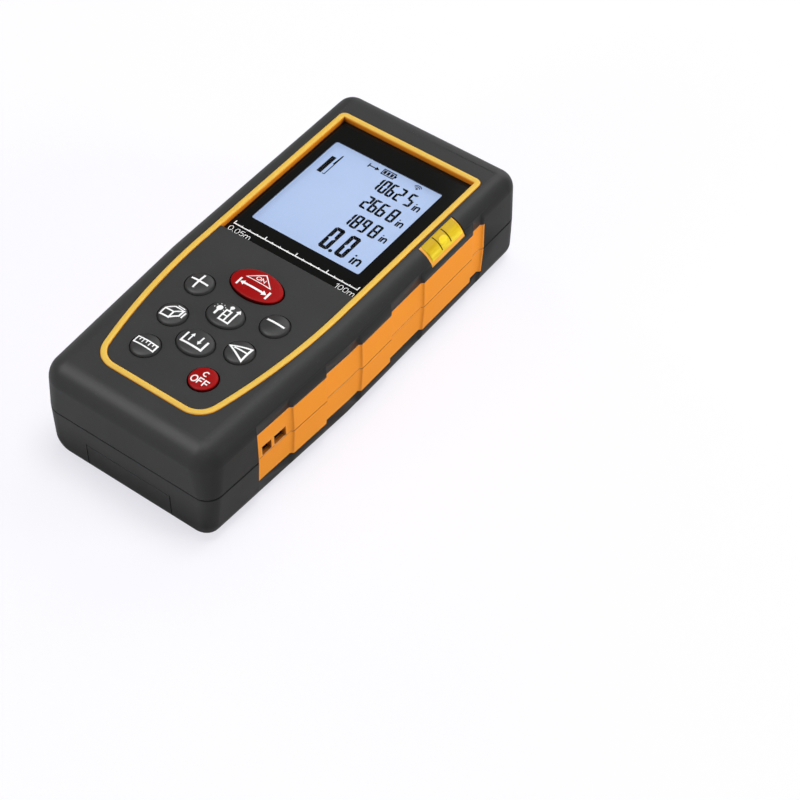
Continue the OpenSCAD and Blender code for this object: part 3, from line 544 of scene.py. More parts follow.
# %% Mix the inks and the finishes inside
SEAL = moulded("black_rubber", (22, 22, 22), (30, 30, 30), (0.6, 0.75), pit=0.2, depth=0.02, shine=0.3)
SILICONE = moulded("clear_silicone", (196, 200, 202), (214, 217, 218), (0.4, 0.5), pit=0.6, depth=0.004)
WHITE_MOULDING = moulded("white_moulding", (226, 228, 230), (240, 241, 242), (0.4, 0.5), pit=0.4,
                         depth=0.004)
CHIP = moulded("chip_epoxy", (24, 24, 26), (34, 34, 36), (0.45, 0.6), pit=0.15, depth=0.01)
CHASSIS = moulded("chassis_grey", (66, 67, 70), (80, 81, 84), (0.4, 0.5), pit=0.2, depth=0.01,
                  wear_and_highlight=(120, 120, 122))
WHITE_INK = moulded("white_ink", (236, 236, 236), (250, 250, 250), (0.45, 0.55), pit=0.15, depth=0.002,
                    dust=0.0)
BLACK_INK = moulded("black_ink", (6, 6, 8), (12, 12, 14), (0.5, 0.6), pit=0.15, depth=0.001, shine=0.03,
                    dust=0.0)
LINE_INK = moulded("vial_line_ink", (56, 48, 8), (72, 62, 14), (0.4, 0.5), pit=0.15, depth=0.001,
                   shine=0.2, dust=0.0)
print("inks", [m.name for m in (WHITE_INK, BLACK_INK, LINE_INK)])

# %% [markdown]
# ## Softened mouldings
# A straight cut edge is what gives a computer model away: a real moulding has a small radius
# on every outside edge. The case halves, grips and other hard parts are copied from the frame,
# their flat faces joined again, and each edge that looks out is bevelled by about a tenth of a
# millimetre. A bevel modifier would be quicker, but it would round the pockets as well: edges
# inside a pocket that another part fills stay sharp, as do those too short for a radius.
# Weighted normals keep the flats flat and let only the bevel turn.

# %% A tool that closes and places a piece
def close_up(name, form, finish, body, stands_for, crease):
    """Turn a mesh in metres into a finished piece that rides on a body."""
    bmesh.ops.recalc_face_normals(form, faces=form.faces)
    loose = sum(not e.is_manifold for e in form.edges)
    mesh = bpy.data.meshes.new(name)
    form.to_mesh(mesh)
    form.free()
    mesh.shade_smooth()
    mesh.set_sharp_from_angle(angle=math.radians(crease))
    mesh.materials.append(finish)
    piece = bpy.data.objects.new(name, mesh)
    bpy.context.scene.collection.objects.link(piece)
    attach(piece, body)
    if stands_for:
        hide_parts(*stands_for)
    print(" ", name, len(mesh.polygons), "faces", "closed" if not loose else f"{loose} OPEN EDGES")
    return piece


def weighted(piece):
    settle = piece.modifiers.new("weighted", "WEIGHTED_NORMAL")
    settle.keep_sharp = True
    settle.weight = 60


print("each piece below is named with its number of faces")

# %% A tool that softens outside edges
WELD, SLIVER, CLEARANCE = 0.002 * MM, 0.04 * MM, 0.01 * MM
FLAT_ANGLE, SHARP_ANGLE, CREASE_ANGLE = 0.05, 40, 34
ROOM_FOR_BEVEL = 2.2


def within(box, point):
    """Is the point inside the box, which stands on both sides of the middle?"""
    return all(low < v < high for v, (low, high) in zip((abs(point.x), point.y, point.z), box))


def softened(node, name, finish, edge=0.12, body="case", spare=()):
    form = bmesh.new()
    form.from_mesh(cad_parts[node].data)
    bmesh.ops.remove_doubles(form, verts=form.verts, dist=WELD)
    bmesh.ops.dissolve_degenerate(form, dist=SLIVER, edges=form.edges)
    bmesh.ops.dissolve_limit(form, angle_limit=math.radians(FLAT_ANGLE), verts=form.verts, edges=form.edges)
    skin = BVHTree.FromBMesh(form)

    def in_the_open(e):
        middle = (e.verts[0].co + e.verts[1].co) / 2
        if any(within(box, middle / MM) for box in spare):
            return False
        way = (e.link_faces[0].normal + e.link_faces[1].normal).normalized()
        return skin.ray_cast(middle + way * CLEARANCE, way)[0] is None

    def wants_radius(e):
        sharp = e.is_manifold and e.is_convex and e.calc_face_angle() > math.radians(SHARP_ANGLE)
        return sharp and e.calc_length() > ROOM_FOR_BEVEL * edge * MM and in_the_open(e)

    outside = [e for e in form.edges if wants_radius(e)]
    bmesh.ops.bevel(form, geom=outside, offset=edge * MM, offset_type="OFFSET", segments=2,
                    profile=0.5, affect="EDGES", clamp_overlap=False, loop_slide=True)
    bmesh.ops.triangulate(form, faces=[f for f in form.faces if len(f.verts) > 4])
    weighted(close_up(name, form, finish, body, (node,), CREASE_ANGLE))


print("edges sharper than", SHARP_ANGLE, "degrees get a radius")

# %% Soften the case, the grips and the door
FAR = 100.0
GRIP_POCKET = ((22.4, FAR), (-44.0, 45.0), (2.0, 25.7))
DOOR_RAILS = ((10.9, 18.5), (-FAR, -0.8), (-FAR, 2.3))
LANYARD_EYE = ((0.0, FAR), (-39.5, -30.8), (15.0, 21.0))

softened("front_case", "front_case_moulding", CHARCOAL, spare=(GRIP_POCKET,))
softened("rear_case", "rear_case_moulding", CHARCOAL, spare=(GRIP_POCKET, DOOR_RAILS))
softened("battery_door", "battery_door_moulding", CHARCOAL, edge=0.15, body="door")
for side in ("right", "left"):
    for half in ("front", "rear"):
        grip = f"grip_{side}_{half}"
        softened(grip, f"{grip}_rubber", ORANGE, edge=0.14, spare=(LANYARD_EYE,))

# %% [markdown]
# ## Trim line
# The amber line is one moulded ring pressed into a groove round the display and keys. Its
# path is a chain of arcs, so every point can be worked out; a rounded profile is then carried
# round that path, ring by ring. A sweep like this keeps the little highlight on the crown
# even, which a bevelled extrusion would not.

# %% Draw the trim's path
TRIM_SIDE, TRIM_SWEEP, TRIM_WAIST = 19.9, 158.0, -6.0
TRIM_TOP_X, TRIM_TOP_Y, TRIM_TOP_ROUND = 18.9, 46.0, 1.0
TRIM_LOW_Y, TRIM_LOW_ROUND = -46.95, 5.5


def evenly(start, end, count):
    return [start + (end - start) * i / count for i in range(count + 1)]


def arc(cx, cy, radius, start, end, count):
    turns = [math.radians(turn) for turn in evenly(start, end, count)]
    return [(cx + radius * math.cos(t), cy + radius * math.sin(t)) for t in turns]


def trim_path(offset):
    """The line through the trim, moved outwards by offset: corner, long side, corner, mirrored."""
    sweep_x = TRIM_SIDE - TRIM_SWEEP
    low_y = TRIM_LOW_Y + TRIM_LOW_ROUND
    fall = low_y - TRIM_WAIST
    low_x = sweep_x + math.sqrt((TRIM_SWEEP - TRIM_LOW_ROUND) ** 2 - fall ** 2)
    low_turn = math.degrees(math.atan2(fall, low_x - sweep_x))
    right = arc(TRIM_TOP_X, TRIM_TOP_Y, TRIM_TOP_ROUND + offset, 90, 0, 8)
    right += arc(sweep_x, TRIM_WAIST, TRIM_SWEEP + offset, 0, low_turn, 36)
    right += arc(low_x, low_y, TRIM_LOW_ROUND + offset, low_turn, -90, 20)[1:]
    return right + [(-x, y) for x, y in reversed(right)]


print("trim points per ring", len(trim_path(0.0)))

# %% Sweep the trim
TRIM_HALF, TRIM_CREST, TRIM_BASE, TRIM_ROUND = 0.8, 28.4, 26.84, 0.48
CROWN_FALL = 0.05


def joined_rings(rings, wrap=False, cap_first=False, cap_last=False):
    """Skin a list of closed rings of points, given in millimetres."""
    form = bmesh.new()
    rows = [[form.verts.new(Vector(p) * MM) for p in ring] for ring in rings]
    for a, b in list(zip(rows, rows[1:])) + ([(rows[-1], rows[0])] if wrap else []):
        for i in range(len(a)):
            k = (i + 1) % len(a)
            form.faces.new((a[i], a[k], b[k], b[i]))
    for wanted, row in ((cap_first, rows[0]), (cap_last, rows[-1])):
        if wanted:
            middle = form.verts.new(sum((v.co for v in row), Vector()) / len(row))
            for i in range(len(row)):
                form.faces.new((row[i], row[(i + 1) % len(row)], middle))
    return form


def trim_profile():
    """Pairs of offset and height: up the inner wall, over the rounded crown, down the outer wall."""
    edge = TRIM_HALF - TRIM_ROUND
    crown = [(-edge - TRIM_ROUND * math.cos(t), TRIM_CREST - TRIM_ROUND + TRIM_ROUND * math.sin(t))
             for t in (math.radians(v) for v in (0, 22, 45, 68, 90))]
    left = [(-TRIM_HALF, TRIM_BASE), (-TRIM_HALF, (TRIM_BASE + TRIM_CREST) / 2)]
    left += [(o, z - CROWN_FALL * (o / TRIM_HALF) ** 2) for o, z in crown]
    left += [(-0.18, TRIM_CREST - 0.004)]
    return left + [(0.0, TRIM_CREST)] + [(-o, z) for o, z in reversed(left)]


trim_rings = [[(x, y, z) for x, y in trim_path(o)] for o, z in trim_profile()]
trim = joined_rings(trim_rings, wrap=True)
close_up("trim_line", trim, AMBER, "case", ("face_trim",), crease=40)

# %% [markdown]
# ## Keys
# Each key is a domed cap with a flange behind the face and a stem over its switch. The cap is
# lofted from rings: up the stem, round the flange, up the wall, over a small fillet and across
# the dome. A squashed sphere would be less work, but it has no upright wall to press down
# through the face. The two that measure and clear are red, the rest follow the case. Their tops
# keep the curve of the construction model, because the icons have to lie on it.

# %% Place the keys
SMALL = (3.3, 3.3, 14.0, 0.4)
WIDE = (4.55, 3.55, 24.0, 0.44)
LARGE = (6.8, 4.25, 38.0, 0.6)
KEYS = {
    "measure": (0.0, -10.2, *LARGE), "plus": (-10.75, -17.2, *SMALL), "minus": (10.75, -17.2, *SMALL),
    "store": (0.0, -21.15, *WIDE), "volume": (-9.52, -27.8, *SMALL), "triangle": (9.52, -27.8, *SMALL),
    "reference": (0.0, -31.3, *WIDE), "unit": (-8.2, -38.4, *SMALL), "off": (8.2, -38.4, *SMALL)}
RED_KEYS = ("measure", "off")
FACE = 28.1
KEY_PROUD = 0.35


def key_top(key):
    """The height of a key's dome over any place on it."""
    cx, cy, _, _, dome, crown = KEYS[key]
    peak = FACE + KEY_PROUD + crown - dome
    return lambda x, y: peak + math.sqrt(dome ** 2 - (x - cx) ** 2 - (y - cy) ** 2)


print("keys", {key: round(key_top(key)(*KEYS[key][:2]), 2) for key in KEYS}, "mm high")

# %% Loft the key caps
STEM_FOOT, STEM_RADIUS = 21.78, 1.48
FLANGE_LOW, FLANGE_HIGH, FLANGE_REACH, FLANGE_ROUND = 24.6, 25.4, 0.78, 0.08
FILLET = 0.36


def key_rings(key):
    cx, cy, wide, high, _, _ = KEYS[key]
    top = key_top(key)
    circle = arc(0.0, 0.0, 1.0, 0, 360, 64)[:-1]

    def ring(a, b, height):
        points = [(cx + a * x, cy + b * y) for x, y in circle]
        return [(x, y, height(x, y) if callable(height) else height) for x, y in points]

    def stem(radius, z):
        return ring(radius, radius, z)

    def wall(grow, z):
        return ring(wide + grow, high + grow, z)

    rings = [stem(STEM_RADIUS - 0.13, STEM_FOOT), stem(STEM_RADIUS, STEM_FOOT + 0.12),
             stem(STEM_RADIUS, FLANGE_LOW - 0.1), stem(STEM_RADIUS + 0.12, FLANGE_LOW),
             wall(FLANGE_REACH - FLANGE_ROUND, FLANGE_LOW), wall(FLANGE_REACH, FLANGE_LOW + FLANGE_ROUND),
             wall(FLANGE_REACH, FLANGE_HIGH - FLANGE_ROUND), wall(FLANGE_REACH - FLANGE_ROUND, FLANGE_HIGH),
             wall(0.1, FLANGE_HIGH)]
    flare = 0.02 if key in RED_KEYS else 0.16
    fillet = ((-flare, 0.7), (-flare * 0.9, 0.42), (0.0, 0.22), (0.09, 0.1), (0.2, 0.035), (FILLET, 0.0))
    for inset, drop in fillet:
        rings.append(wall(-inset, lambda x, y, d=drop: top(x, y) - d))
    for share in (0.85, 0.7, 0.55, 0.4, 0.25, 0.1):
        rings.append(ring((wide - FILLET) * share, (high - FILLET) * share, top))
    return rings


for key in KEYS:
    close_up(f"key_{key}_cap", joined_rings(key_rings(key), cap_first=True, cap_last=True),
             KEY_RED if key in RED_KEYS else KEY_GREY, f"key_{key}_body",
             (f"key_{key}",), crease=38)

# %% [markdown]
# ## Printed icons
# The icons are pad printed in white. A picture laid over the keys would blur close up, so they
# are drawn as ink: a stroke becomes a thin ribbon with mitred corners that follows the dome, and
# a filled spot becomes a small patch. Both are closed slabs two hundredths of a millimetre proud,
# like real ink under a fingernail, and each icon rides on its own key.

# %% Ribbons with mitred corners
STEP = 0.4
SHARPEST_MITRE = 0.45


def mitred_sides(points, width, closed):
    """The left and right edge of a stroke at each of its corners."""
    count = len(points)
    sides = []
    for i, here in enumerate(points):
        came = here - points[i - 1] if closed or i else points[1] - here
        goes = points[(i + 1) % count] - here if closed or i < count - 1 else came
        a, b = came.normalized(), goes.normalized()
        left_a, left_b = Vector((-a.y, a.x)), Vector((-b.y, b.x))
        mitre = (left_a + left_b).normalized()
        reach = width / 2 / max(mitre.dot(left_a), SHARPEST_MITRE)
        sides.append((here + mitre * reach, here - mitre * reach))
    return sides


def ribbon(path, width, closed):
    """Cut a stroke into short steps, so that it can follow a dome."""
    points = [Vector(p) for p in path]
    sides = mitred_sides(points, width, closed)
    rows = []
    for i in range(len(points) if closed else len(points) - 1):
        k = (i + 1) % len(points)
        cuts = max(1, math.ceil((points[k] - points[i]).length / STEP))
        for c in range(cuts):
            rows.append([sides[i][s].lerp(sides[k][s], c / cuts) for s in (0, 1)])
    return rows if closed else rows + [sides[-1]]


print("a stroke 2 mm long has", len(ribbon([(0, 0), (2, 0)], 0.5, False)), "rows")

# %% Slabs and patches of ink
def lay_slab(form, rows, closed=False):
    """Join rows of four corners, in millimetres, into one closed slab."""
    rings = [[form.verts.new(Vector(p) * MM) for p in row] for row in rows]
    for a, b in list(zip(rings, rings[1:])) + ([(rings[-1], rings[0])] if closed else []):
        for i in range(4):
            form.faces.new((a[i], a[(i + 1) % 4], b[(i + 1) % 4], b[i]))
    if not closed:
        form.faces.new(rings[0])
        form.faces.new(rings[-1])


def lay_patch(form, outline, top, low):
    cx = sum(p[0] for p in outline) / len(outline)
    cy = sum(p[1] for p in outline) / len(outline)
    layers = []
    for height in (top, low):
        ring = [form.verts.new((x * MM, y * MM, height(x, y) * MM)) for x, y in outline]
        middle = form.verts.new((cx * MM, cy * MM, height(cx, cy) * MM))
        for i in range(len(ring)):
            form.faces.new((ring[i], ring[(i + 1) % len(ring)], middle))
        layers.append(ring)
    for i in range(len(outline)):
        k = (i + 1) % len(outline)
        form.faces.new((layers[0][i], layers[0][k], layers[1][k], layers[1][i]))


def print_ink(name, marks, surface, finish, body, proud=0.02, sunk=0.05):
    form = bmesh.new()

    def top(x, y):
        return surface(x, y) + proud

    def low(x, y):
        return surface(x, y) - sunk

    for kind, points, width in marks:
        if kind == "spot":
            lay_patch(form, points, top, low)
            continue
        rows = []
        for left, right in ribbon(points, width, kind == "loop"):
            corners = ((left, top), (right, top), (right, low), (left, low))
            rows.append([(p.x, p.y, height(p.x, p.y)) for p, height in corners])
        lay_slab(form, rows, kind == "loop")
    close_up(name, form, finish, body, (), crease=40)


print("ink lies on any surface whose height is known")

# %% Marks to print
def disc(x, y, radius, count=16):
    return ("spot", arc(x, y, radius, 0, 360, count)[:-1], 0)


def bar(x0, y0, x1, y1, width):
    return ("line", [(x0, y0), (x1, y1)], width)


def block(x0, x1, y0, y1):
    return ("spot", [(x0, y0), (x1, y0), (x1, y1), (x0, y1)], 0)


def box_line(x0, x1, y0, y1, width):
    return ("loop", [(x0, y0), (x0, y1), (x1, y1), (x1, y0)], width)


def head(x, y, turn, size=0.8):
    """An arrow head with its tip at x, y, pointing along turn."""
    t = math.radians(turn)
    tip, side = Vector((math.cos(t), math.sin(t))), Vector((-math.sin(t), math.cos(t)))
    base = Vector((x, y)) - tip * size
    return ("spot", [(x, y), tuple(base + side * size * 0.6), tuple(base - side * size * 0.6)], 0)


print("a dot is drawn with", len(disc(0, 0, 1)[1]), "points")

# %% [markdown]
# ## A pen alphabet
# A few generic letters and figures are needed: ON and OFF, the scale's numbers and the units
# on the display. A text object would need a font and would stay flat. A single-stroke alphabet
# is enough, each letter a short list of strokes in a box one unit high, which the ink tools
# widen to a pen's breadth and bend over a key.

# %% Letters and figures as strokes
LETTER_SPACE = 0.2


def oval(wide, tall, start=0.0, end=360.0, count=24):
    circle = arc(0.5, 0.5, 0.5, start, end, count)
    return [(wide * x, tall * y) for x, y in (circle if end - start < 360 else circle[:-1])]


PEN = {
    "O": (0.74, [("loop", oval(0.74, 1.0))]), "0": (0.58, [("loop", oval(0.58, 1.0))]),
    "N": (0.66, [("line", [(0, 0), (0, 1), (0.66, 0), (0.66, 1)])]),
    "F": (0.54, [("line", [(0, 0), (0, 1), (0.54, 1)]), ("line", [(0.1, 0.52), (0.46, 0.52)])]),
    "C": (0.7, [("line", oval(0.76, 1.0, 48, 312))]),
    "1": (0.3, [("line", [(0.0, 0.74), (0.26, 1.0), (0.26, 0.0)])]),
    "5": (0.56, [("line", [(0.52, 1), (0.1, 1), (0.05, 0.53), (0.26, 0.62), (0.46, 0.54), (0.56, 0.33),
                           (0.48, 0.1), (0.27, 0.0), (0.02, 0.1)])]),
    ".": (0.1, [("spot", [(-0.02, 0), (0.12, 0), (0.12, 0.14), (-0.02, 0.14)])]),
    "m": (0.84, [("line", [(0, 0), (0, 0.68)]),
                 ("line", [(0.05, 0.5), (0.14, 0.64), (0.27, 0.68), (0.38, 0.62), (0.42, 0.48), (0.42, 0)]),
                 ("line", [(0.47, 0.5), (0.56, 0.64), (0.69, 0.68), (0.8, 0.62), (0.84, 0.48), (0.84, 0)])]),
    "i": (0.12, [("line", [(0.06, 0), (0.06, 0.68)]),
                 ("spot", [(-0.02, 0.84), (0.14, 0.84), (0.14, 1.0), (-0.02, 1.0)])]),
    "n": (0.46, [("line", [(0, 0), (0, 0.68)]),
                 ("line", [(0.05, 0.48), (0.15, 0.63), (0.29, 0.68), (0.41, 0.62), (0.46, 0.47),
                           (0.46, 0)])])}


def written(text, x0, x1, low, high, width):
    """The strokes of a word, fitted between x0 and x1 and between low and high."""
    room = sum(PEN[c][0] for c in text) + LETTER_SPACE * (len(text) - 1)
    across, up = (x1 - x0 - width) / room, high - low - width
    start, foot = x0 + width / 2, low + width / 2
    marks = []
    for c in text:
        for kind, points in PEN[c][1]:
            marks.append((kind, [(start + x * across, foot + y * up) for x, y in points], width))
        start += (PEN[c][0] + LETTER_SPACE) * across
    return marks


print("letters", "".join(PEN))

# %% [markdown]
# ## The icons themselves
# Every place below was read off the picture: a triangle with ON over the measuring sign, plus
# and minus, a store-and-light sign, a box for volume, a triangle for indirect measuring, a
# bracket for the reference edge, a ruler for units, and OFF with a C for clear.

# %% Print the icons on the keys
ICONS = {
    "measure": [("loop", [(0.06, -6.75), (3.3, -9.55), (-3.45, -9.5)], 0.25)]
    + written("ON", -1.35, 1.2, -9.1, -7.95, 0.18)
    + [bar(-4.1, -12.55, -4.1, -10.35, 0.5), bar(4.05, -12.55, 4.05, -10.35, 0.5),
       bar(-2.9, -11.45, 2.85, -11.45, 0.5), head(-3.75, -11.45, 180, 1.15), head(3.7, -11.45, 0, 1.15)],
    "plus": [bar(-11.09, -14.7, -11.09, -19.2, 0.5), bar(-13.3, -16.9, -11.34, -16.9, 0.5),
             bar(-10.84, -16.9, -8.6, -16.9, 0.5)],
    "minus": [bar(8.3, -16.75, 13.1, -16.75, 0.5)],
    "store": [disc(-2.15, -20.45, 0.78), bar(-2.15, -21.2, -2.15, -22.5, 0.6)]
    + [disc(x, y, 0.13, 8) for x, y in arc(-2.15, -20.45, 1.3, -10, 190, 5)]
    + [box_line(-0.4, 0.95, -23.1, -20.1, 0.42), bar(-0.18, -21.6, 0.73, -21.6, 0.36),
       disc(0.25, -18.9, 0.52), bar(0.25, -19.4, 0.25, -19.9, 0.34),
       ("line", [(1.17, -23.1), (2.25, -23.1), (2.25, -19.2)], 0.42), head(2.25, -18.35, 90, 1.05)],
    "volume": [box_line(-11.85, -9.4, -27.5, -29.4, 0.42),
               ("line", [(-11.75, -27.3), (-10.2, -25.95), (-7.75, -25.95), (-9.3, -27.35)], 0.4),
               ("line", [(-7.75, -26.15), (-7.75, -27.75), (-9.25, -29.2)], 0.4),
               bar(-9.8, -25.4, -7.9, -25.4, 0.32), bar(-7.1, -26.1, -7.1, -27.9, 0.32)],
    "triangle": [("loop", [(6.75, -27.55), (11.5, -25.85), (11.5, -29.75)], 0.46),
                 bar(7.9, -27.55, 11.3, -27.45, 0.4)],
    "reference": [("line", [(-2.88, -29.95), (-2.88, -32.75), (2.68, -32.75), (2.68, -29.95)], 0.5),
                  bar(-1.4, -32.0, -1.4, -30.4, 0.36), head(-1.4, -29.55, 90, 0.9),
                  bar(1.03, -29.45, 1.03, -31.05, 0.36), head(1.03, -31.95, -90, 0.9)],
    "unit": [box_line(-10.95, -5.5, -39.1, -37.35, 0.36)]
    + [bar(-10.95 + 5.45 * i / 6, -37.55, -10.95 + 5.45 * i / 6, -38.5 if i % 2 == 0 else -38.15, 0.26)
       for i in range(1, 6)],
    "off": written("OFF", 5.85, 10.55, -40.5, -38.6, 0.3) + written("C", 7.5, 8.9, -38.1, -36.55, 0.3)}
for key, marks in ICONS.items():
    print_ink(f"key_{key}_icon", marks, key_top(key), WHITE_INK, f"key_{key}_body")

# %% [markdown]
# ## Display window
# The window is one acrylic plate, printed black behind except over the display. Here it is a
# glossy black surround with an opening and a clear pane in that opening, so that each can
# have its own finish. The surround also carries a white distance scale with its end figures.

# %% Finishes for the window
def gloss_black(name):
    finish, tree, shader = new_finish(name)
    grain = placed(tree, GRAIN, Pit_Size=0.8, Cloud_Size=14.0)
    colour = blended(tree, grain.outputs["Tone"], rgb(13, 13, 12), rgb(18, 18, 17))
    tree.links.new(colour, shader.inputs["Base Color"])
    tree.links.new(ranged(tree, grain.outputs["Gloss"], 0.08, 0.14), shader.inputs["Roughness"])
    shader.inputs["Specular IOR Level"].default_value = 0.16
    return finish


def clear_glass(name, tint, rough, bend, shine=0.5):
    finish, tree, shader = new_finish(name)
    smear = placed(tree, GRAIN, Pit_Size=2.5, Cloud_Size=12.0)
    shader.inputs["Base Color"].default_value = rgb(*tint)
    tree.links.new(ranged(tree, smear.outputs["Gloss"], *rough), shader.inputs["Roughness"])
    shader.inputs["IOR"].default_value = bend
    shader.inputs["Specular IOR Level"].default_value = shine
    shader.inputs["Transmission Weight"].default_value = 1.0
    return finish


SURROUND = gloss_black("window_print")
PANE = clear_glass("window_glass", (250, 252, 255), (0.0, 0.02), bend=1.12, shine=0.06)
print("window finishes", SURROUND.name, "and", PANE.name)

# %% Cut the surround and the pane
WINDOW_TOP, WINDOW_BACK = 26.8, 25.84
WINDOW_EDGE = (-19.05, 19.05, 0.3, 46.15)
VIEW = (-16.1, 14.9, 7.35, 39.55)
VIEW_BACK = (-17.0, 16.0, 6.5, 41.5)
CORNER_STEPS = 6


def box_ring(box, inset, radius, z):
    """A rounded rectangle, set in from a box, at one height."""
    x0, x1, y0, y1 = box
    near = inset + radius
    corners = ((x1 - near, y1 - near, 0), (x0 + near, y1 - near, 90),
               (x0 + near, y0 + near, 180), (x1 - near, y0 + near, 270))
    return [(x, y, z) for cx, cy, start in corners
            for x, y in arc(cx, cy, radius, start, start + 90, CORNER_STEPS)]


def window_surround():
    rings = [box_ring(VIEW_BACK, 0.0, 0.5, WINDOW_BACK), box_ring(VIEW, 0.0, 0.5, WINDOW_TOP - 0.3),
             box_ring(VIEW, 0.0, 0.5, WINDOW_TOP), box_ring(WINDOW_EDGE, 0.12, 0.3, WINDOW_TOP),
             box_ring(WINDOW_EDGE, 0.0, 0.4, WINDOW_TOP - 0.1), box_ring(WINDOW_EDGE, 0.0, 0.4, WINDOW_BACK)]
    return joined_rings(rings, wrap=True)


def clear_pane():
    rings = [box_ring(VIEW, 0.02, 0.5, z) for z in (WINDOW_TOP - 0.24, WINDOW_TOP - 0.005)]
    return joined_rings(rings, cap_first=True, cap_last=True)


for name, form, finish in (("surround", window_surround(), SURROUND), ("pane", clear_pane(), PANE)):
    close_up(f"window_{name}", form, finish, "case", ("display_window",), crease=30)

# %% Print the distance scale
SCALE_Y, SCALE_X0, SCALE_X1 = 3.42, -18.12, 17.76
SCALE_LINE, TICK, TICKS = 0.32, 0.27, 16
TALL, SHORT = 0.85, 0.22
scale = [bar(SCALE_X0, SCALE_Y, SCALE_X1, SCALE_Y, SCALE_LINE)]
for i in range(TICKS + 1):
    x = SCALE_X0 + 0.15 + (SCALE_X1 - SCALE_X0 - 0.3) * i / TICKS
    foot = SCALE_Y + SCALE_LINE / 2
    scale.append(bar(x, foot, x, foot + (SHORT if i % 4 else TALL), TICK))
scale += written("0.05m", -18.2, -11.9, 0.95, 2.6, 0.16) + written("100m", 12.7, 18.0, 0.95, 2.6, 0.16)
print_ink("window_scale", scale, lambda x, y: WINDOW_TOP, WHITE_INK, "case")

# %% [markdown]
# ## Display
# A backlit display glows by itself. A lamp behind a diffuser would be slow to render, so the
# panel's colour is given to the emission, with a slow fall-off towards the corners like that of
# a real light guide. The figures are made of seven bars with mitred ends, drawn just above the
# panel so that they throw no shadow.

# %% Light the panel
PANEL_MIDDLE = 23.6
FALL_OFF = 28.0


def stretched(tree, scale, shift=(0.0, 0.0, 0.0)):
    pull = tree.nodes.new("ShaderNodeMapping")
    pull.inputs["Location"].default_value = shift
    pull.inputs["Scale"].default_value = scale
    tree.links.new(object_place(tree), pull.inputs["Vector"])
    return pull.outputs["Vector"]


def lit_panel(name):
    finish, tree, shader = new_finish(name)
    ball = tree.nodes.new("ShaderNodeTexGradient")
    ball.gradient_type = "SPHERICAL"
    place = stretched(tree, (FALL_OFF, FALL_OFF, FALL_OFF), (0.0, -PANEL_MIDDLE * MM * FALL_OFF, 0.0))
    tree.links.new(place, ball.inputs["Vector"])
    grain = placed(tree, GRAIN, Pit_Size=0.3, Cloud_Size=16.0)
    glow = blended(tree, ball.outputs["Fac"], rgb(158, 177, 211), rgb(180, 195, 223))
    glow = blended(tree, sum_node(tree, "MULTIPLY", grain.outputs["Gloss"], 0.12), glow, rgb(194, 208, 231))
    tree.links.new(glow, shader.inputs["Emission Color"])
    shader.inputs["Emission Strength"].default_value = 1.0
    unlit = blended(tree, grain.outputs["Tone"], rgb(70, 78, 92), rgb(84, 92, 106))
    tree.links.new(unlit, shader.inputs["Base Color"])
    shader.inputs["Roughness"].default_value = 0.5
    shader.inputs["Specular IOR Level"].default_value = 0.1
    return finish


def clad(node, finish):
    """Give a part that keeps the construction model's shape its finish."""
    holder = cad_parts[node]
    holder.data.materials.clear()
    holder.data.materials.append(finish)


LCD = lit_panel("lit_display")
clad("lcd_panel", LCD)
print("the panel glows with", LCD.name)

# %% Seven-bar figures
BARS = {"0": "abcdef", "1": "bc", "2": "abged", "5": "afgcd", "6": "afgedc", "8": "abcdefg", "9": "abcdfg"}
GAP = 0.02


def figure(char, x0, x1, y0, y1, thick):
    """The bars of one figure; the posts on the right mirror those on the left."""
    mid, half, bit, inner = (y0 + y1) / 2, thick / 2, thick / 4, thick + GAP
    bars = {"a": [(half, y1), (bit + GAP, y1 - bit), (inner, y1 - thick)],
            "d": [(inner, y0 + thick), (bit + GAP, y0 + bit), (half, y0)],
            "g": [(inner, mid + half), (half + GAP, mid), (inner, mid - half)]}
    posts = {"f": [(0, mid + GAP), (half, mid + GAP), (thick, mid + half + GAP),
                   (thick, y1 - inner), (bit, y1 - bit - GAP), (0, y1 - half)],
             "e": [(0, y0 + half), (bit, y0 + bit + GAP), (thick, y0 + inner),
                   (thick, mid - half - GAP), (half, mid - GAP), (0, mid - GAP)]}
    shapes = {s: [(x0 + x, y) for x, y in post] for s, post in posts.items()}
    for s, end in bars.items():
        shapes[s] = [(x0 + x, y) for x, y in end] + [(x1 - x, y) for x, y in reversed(end)]
    for right, left in (("b", "f"), ("c", "e")):
        shapes[right] = [(x1 - x, y) for x, y in reversed(posts[left])]
    return [("spot", shapes[s], 0) for s in BARS[char]]


print("figures", "".join(BARS))

# %% Draw the display
LCD_FACE = 25.5
LCD_SHIFT = (-0.4, 0.54)
ROWS = [
    (((0.27, 0.96, "1"), (1.27, 3.08, "0"), (3.35, 5.08, "6"), (5.58, 7.5, "2"), (8.65, 10.58, "5")),
     31.85, 36.46, 0.62),
    (((0.96, 2.96, "2"), (3.15, 5.08, "6"), (5.38, 7.4, "6"), (8.4, 10.46, "8")), 25.3, 29.85, 0.62),
    (((2.2, 2.77, "1"), (3.08, 5.0, "8"), (5.38, 7.23, "9"), (8.27, 10.3, "8")), 18.7, 23.27, 0.62),
    (((1.2, 4.0, "0"), (5.8, 8.58, "0")), 9.55, 17.1, 1.0)]
figures = []
for cells, low, high, thick in ROWS:
    for x0, x1, char in cells:
        figures += figure(char, x0, x1, low, high, thick)
for low, high in ((31.5, 34.3), (25.0, 27.8), (18.8, 21.5)):
    figures += written("in", 11.3, 13.25, low, high, 0.42)
figures += written("in", 10.1, 12.9, 9.15, 12.75, 0.55) + [disc(4.75, 9.95, 0.5)]
edge_sign = [block(-14.35, -13.08, 29.1, 35.3), bar(-12.1, 29.1, -12.1, 33.1, 0.24),
             bar(-12.72, 29.2, -12.22, 29.2, 0.2),
             ("spot", [(-12.55, 33.1), (-11.98, 33.1), (-11.98, 36.77), (-12.3, 36.77)], 0)]
